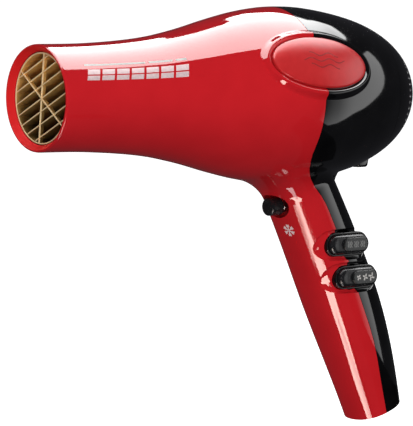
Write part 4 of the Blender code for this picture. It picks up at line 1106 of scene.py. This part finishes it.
def make_card(name, corners, strength, fade=None, tint=(1.0, 1.0, 1.0)):
    """Studio card that only glossy reflections see. fade is (axis, dim end, bright end, least share)."""
    mesh = bpy.data.meshes.new(name)
    mesh.from_pydata([tuple(c) for c in corners], [], [tuple(range(len(corners)))])
    card = linked(name, mesh)
    material = bpy.data.materials.new(name)
    material.use_nodes = True
    nodes, links = material.node_tree.nodes, material.node_tree.links
    nodes.clear()
    light = nodes.new("ShaderNodeEmission")
    light.inputs["Color"].default_value = (*tint, 1)
    light.inputs["Strength"].default_value = strength
    out = nodes.new("ShaderNodeOutputMaterial")
    links.new(light.outputs["Emission"], out.inputs["Surface"])
    if fade:
        axis, dim, bright, least = fade
        place = nodes.new("ShaderNodeTexCoord")
        split = nodes.new("ShaderNodeSeparateXYZ")
        spans = map_range(nodes, dim, bright, strength * least, strength)
        spans.interpolation_type = "SMOOTHSTEP"
        links.new(place.outputs["Object"], split.inputs["Vector"])
        links.new(split.outputs[axis], spans.inputs["Value"])
        links.new(spans.outputs["Result"], light.inputs["Strength"])
    material.cycles.emission_sampling = "NONE"
    mesh.materials.append(material)
    card.visible_camera = False
    card.visible_diffuse = False
    card.visible_shadow = False
    card.visible_transmission = False


def make_cards():
    """Reflection cards: overhead, to the right, a black flag, and two low ones for the handle.

    Apart from the flag's, their outlines were traced back from the photograph's highlights by helper scripts
    and then adjusted by hand.  They are not plain studio shapes.
    """
    overhead = [(-0.90, -0.43), (0.95, -0.43), (1.08, -0.12), (1.08, 0.02), (1.00, 0.31), (0.79, 0.34),
                (0.75, 0.60), (0.76, 0.92), (0.66, 0.86), (0.57, 0.72), (0.50, 0.58),
                (0.42, 0.48), (-0.90, 0.48)]
    make_card("card_overhead", [(x, y, 0.9) for x, y in overhead], 9.8, ("X", 0.95, 0.62, 0.6))
    side = [(-0.11, 0.53), (-0.18, 0.43), (-0.25, 0.32), (-0.32, 0.19), (-0.385, 0.06), (-0.44, -0.05),
            (-0.50, -0.16), (-0.58, -0.28), (-0.68, -0.42), (-0.75, -0.53), (-1.15, -0.53), (-1.15, 0.53)]
    make_card("card_side", [(0.8, y, z) for y, z in side], 2.2, ("Y", -1.15, -0.5, 0.0))
    flag = [(-0.4, -0.25), (-0.4, -0.105), (0.0, -0.105), (0.0, -0.25)]
    make_card("card_flag", [(0.2, y, z) for y, z in flag], 0.0)
    upper = [(-0.37, -0.12), (-0.37, -0.28), (-0.39, -0.38), (-0.44, -0.44), (-0.48, -0.49), (-0.52, -0.49),
             (-0.555, -0.43), (-0.575, -0.33), (-0.60, -0.24)]
    lower = [(-0.48, -0.70), (-0.42, -0.79), (-0.35, -0.92), (-0.25, -1.06), (-0.24, -0.90), (-0.21, -0.80),
             (-0.22, -0.70), (-0.23, -0.57), (-0.24, -0.40)]
    make_card("card_handle", [(x, y, -0.7) for x, y in upper + lower], 17.0, tint=(1.0, 0.85, 0.75))
    tail = [(0.12, 0.04), (0.06, -0.05), (-0.15, -0.28), (-0.36, -0.40), (-0.36, -0.66), (-0.12, -0.46),
            (0.09, -0.24), (0.17, -0.15)]
    make_card("card_handle_top", [(x, y, -0.7) for x, y in tail], 6.0)


def make_world():
    """White to the camera, nearly black in reflections, brighter from above for plain light."""
    world = bpy.data.worlds.new("studio")
    bpy.context.scene.world = world
    world.use_nodes = True
    nodes, links = world.node_tree.nodes, world.node_tree.links
    nodes.clear()
    path = nodes.new("ShaderNodeLightPath")
    place = nodes.new("ShaderNodeTexCoord")
    split = nodes.new("ShaderNodeSeparateXYZ")
    links.new(place.outputs["Generated"], split.inputs["Vector"])
    spans = map_range(nodes, -1.0, 1.0, 0.04, 0.44)
    links.new(split.outputs["Z"], spans.inputs["Value"])
    plain = nodes.new("ShaderNodeBackground")
    plain.inputs["Color"].default_value = (1, 1, 1, 1)
    links.new(spans.outputs["Result"], plain.inputs["Strength"])
    glossy = nodes.new("ShaderNodeBackground")
    glossy.inputs["Color"].default_value = (0.035, 0.035, 0.04, 1)
    white = nodes.new("ShaderNodeBackground")
    white.inputs["Color"].default_value = (1, 1, 1, 1)
    white.inputs["Strength"].default_value = 1.1
    first = nodes.new("ShaderNodeMixShader")
    links.new(path.outputs["Is Glossy Ray"], first.inputs["Fac"])
    links.new(plain.outputs["Background"], first.inputs[1])
    links.new(glossy.outputs["Background"], first.inputs[2])
    second = nodes.new("ShaderNodeMixShader")
    links.new(path.outputs["Is Camera Ray"], second.inputs["Fac"])
    links.new(first.outputs["Shader"], second.inputs[1])
    links.new(white.outputs["Background"], second.inputs[2])
    out = nodes.new("ShaderNodeOutputWorld")
    links.new(second.outputs["Shader"], out.inputs["Surface"])


def make_floor():
    mesh = bpy.data.meshes.new("floor")
    height = cad_box[0].z - 0.07
    size = 6.0
    corners = [(x * size, y * size, height) for x, y in ((-1, -1), (1, -1), (1, 1), (-1, 1))]
    mesh.from_pydata(corners, [], [(0, 1, 2, 3)])
    floor = linked("floor", mesh)
    pale = principled("pale_floor", (0.96, 0.96, 0.96), 0.9, specular=0.0)
    shader = pale.node_tree.nodes["Principled BSDF"]
    shader.inputs["Emission Color"].default_value = (1, 1, 1, 1)
    shader.inputs["Emission Strength"].default_value = 0.85
    pale.cycles.emission_sampling = "NONE"
    mesh.materials.append(pale)
    floor.visible_glossy = False
    floor.visible_diffuse = False
    floor.visible_shadow = False


LIGHTS = [("key_light", (-0.5, -0.9, 1.3), 0.9, 9.0), ("front_light", (-0.6, -1.27, -0.24), 0.8, 13.0),
          ("fill_light", (0.3, 1.1, 1.1), 1.0, 8.0), ("back_light", (-0.4, 1.3, -0.2), 0.8, 9.0)]


def make_lights():
    for name, place, size, power in LIGHTS:
        data = bpy.data.lights.new(name, "AREA")
        data.size = size
        data.energy = power
        light = linked(name, data)
        light.location = place
        light.rotation_mode = "QUATERNION"
        light.rotation_quaternion = (-Vector(place)).to_track_quat("-Z", "Y")
        light.visible_glossy = False
        light.visible_camera = False


# ---------------------------------------------------------------- build

make_camera()
dress_cad_nodes()
make_housings()
make_badges()
make_stripes()
make_snowflake()
make_grille()
make_filter_cover()
make_rockers()
make_cool_button()
make_cards()
make_world()
make_floor()
make_lights()
bpy.context.scene.view_settings.view_transform = "Standard"
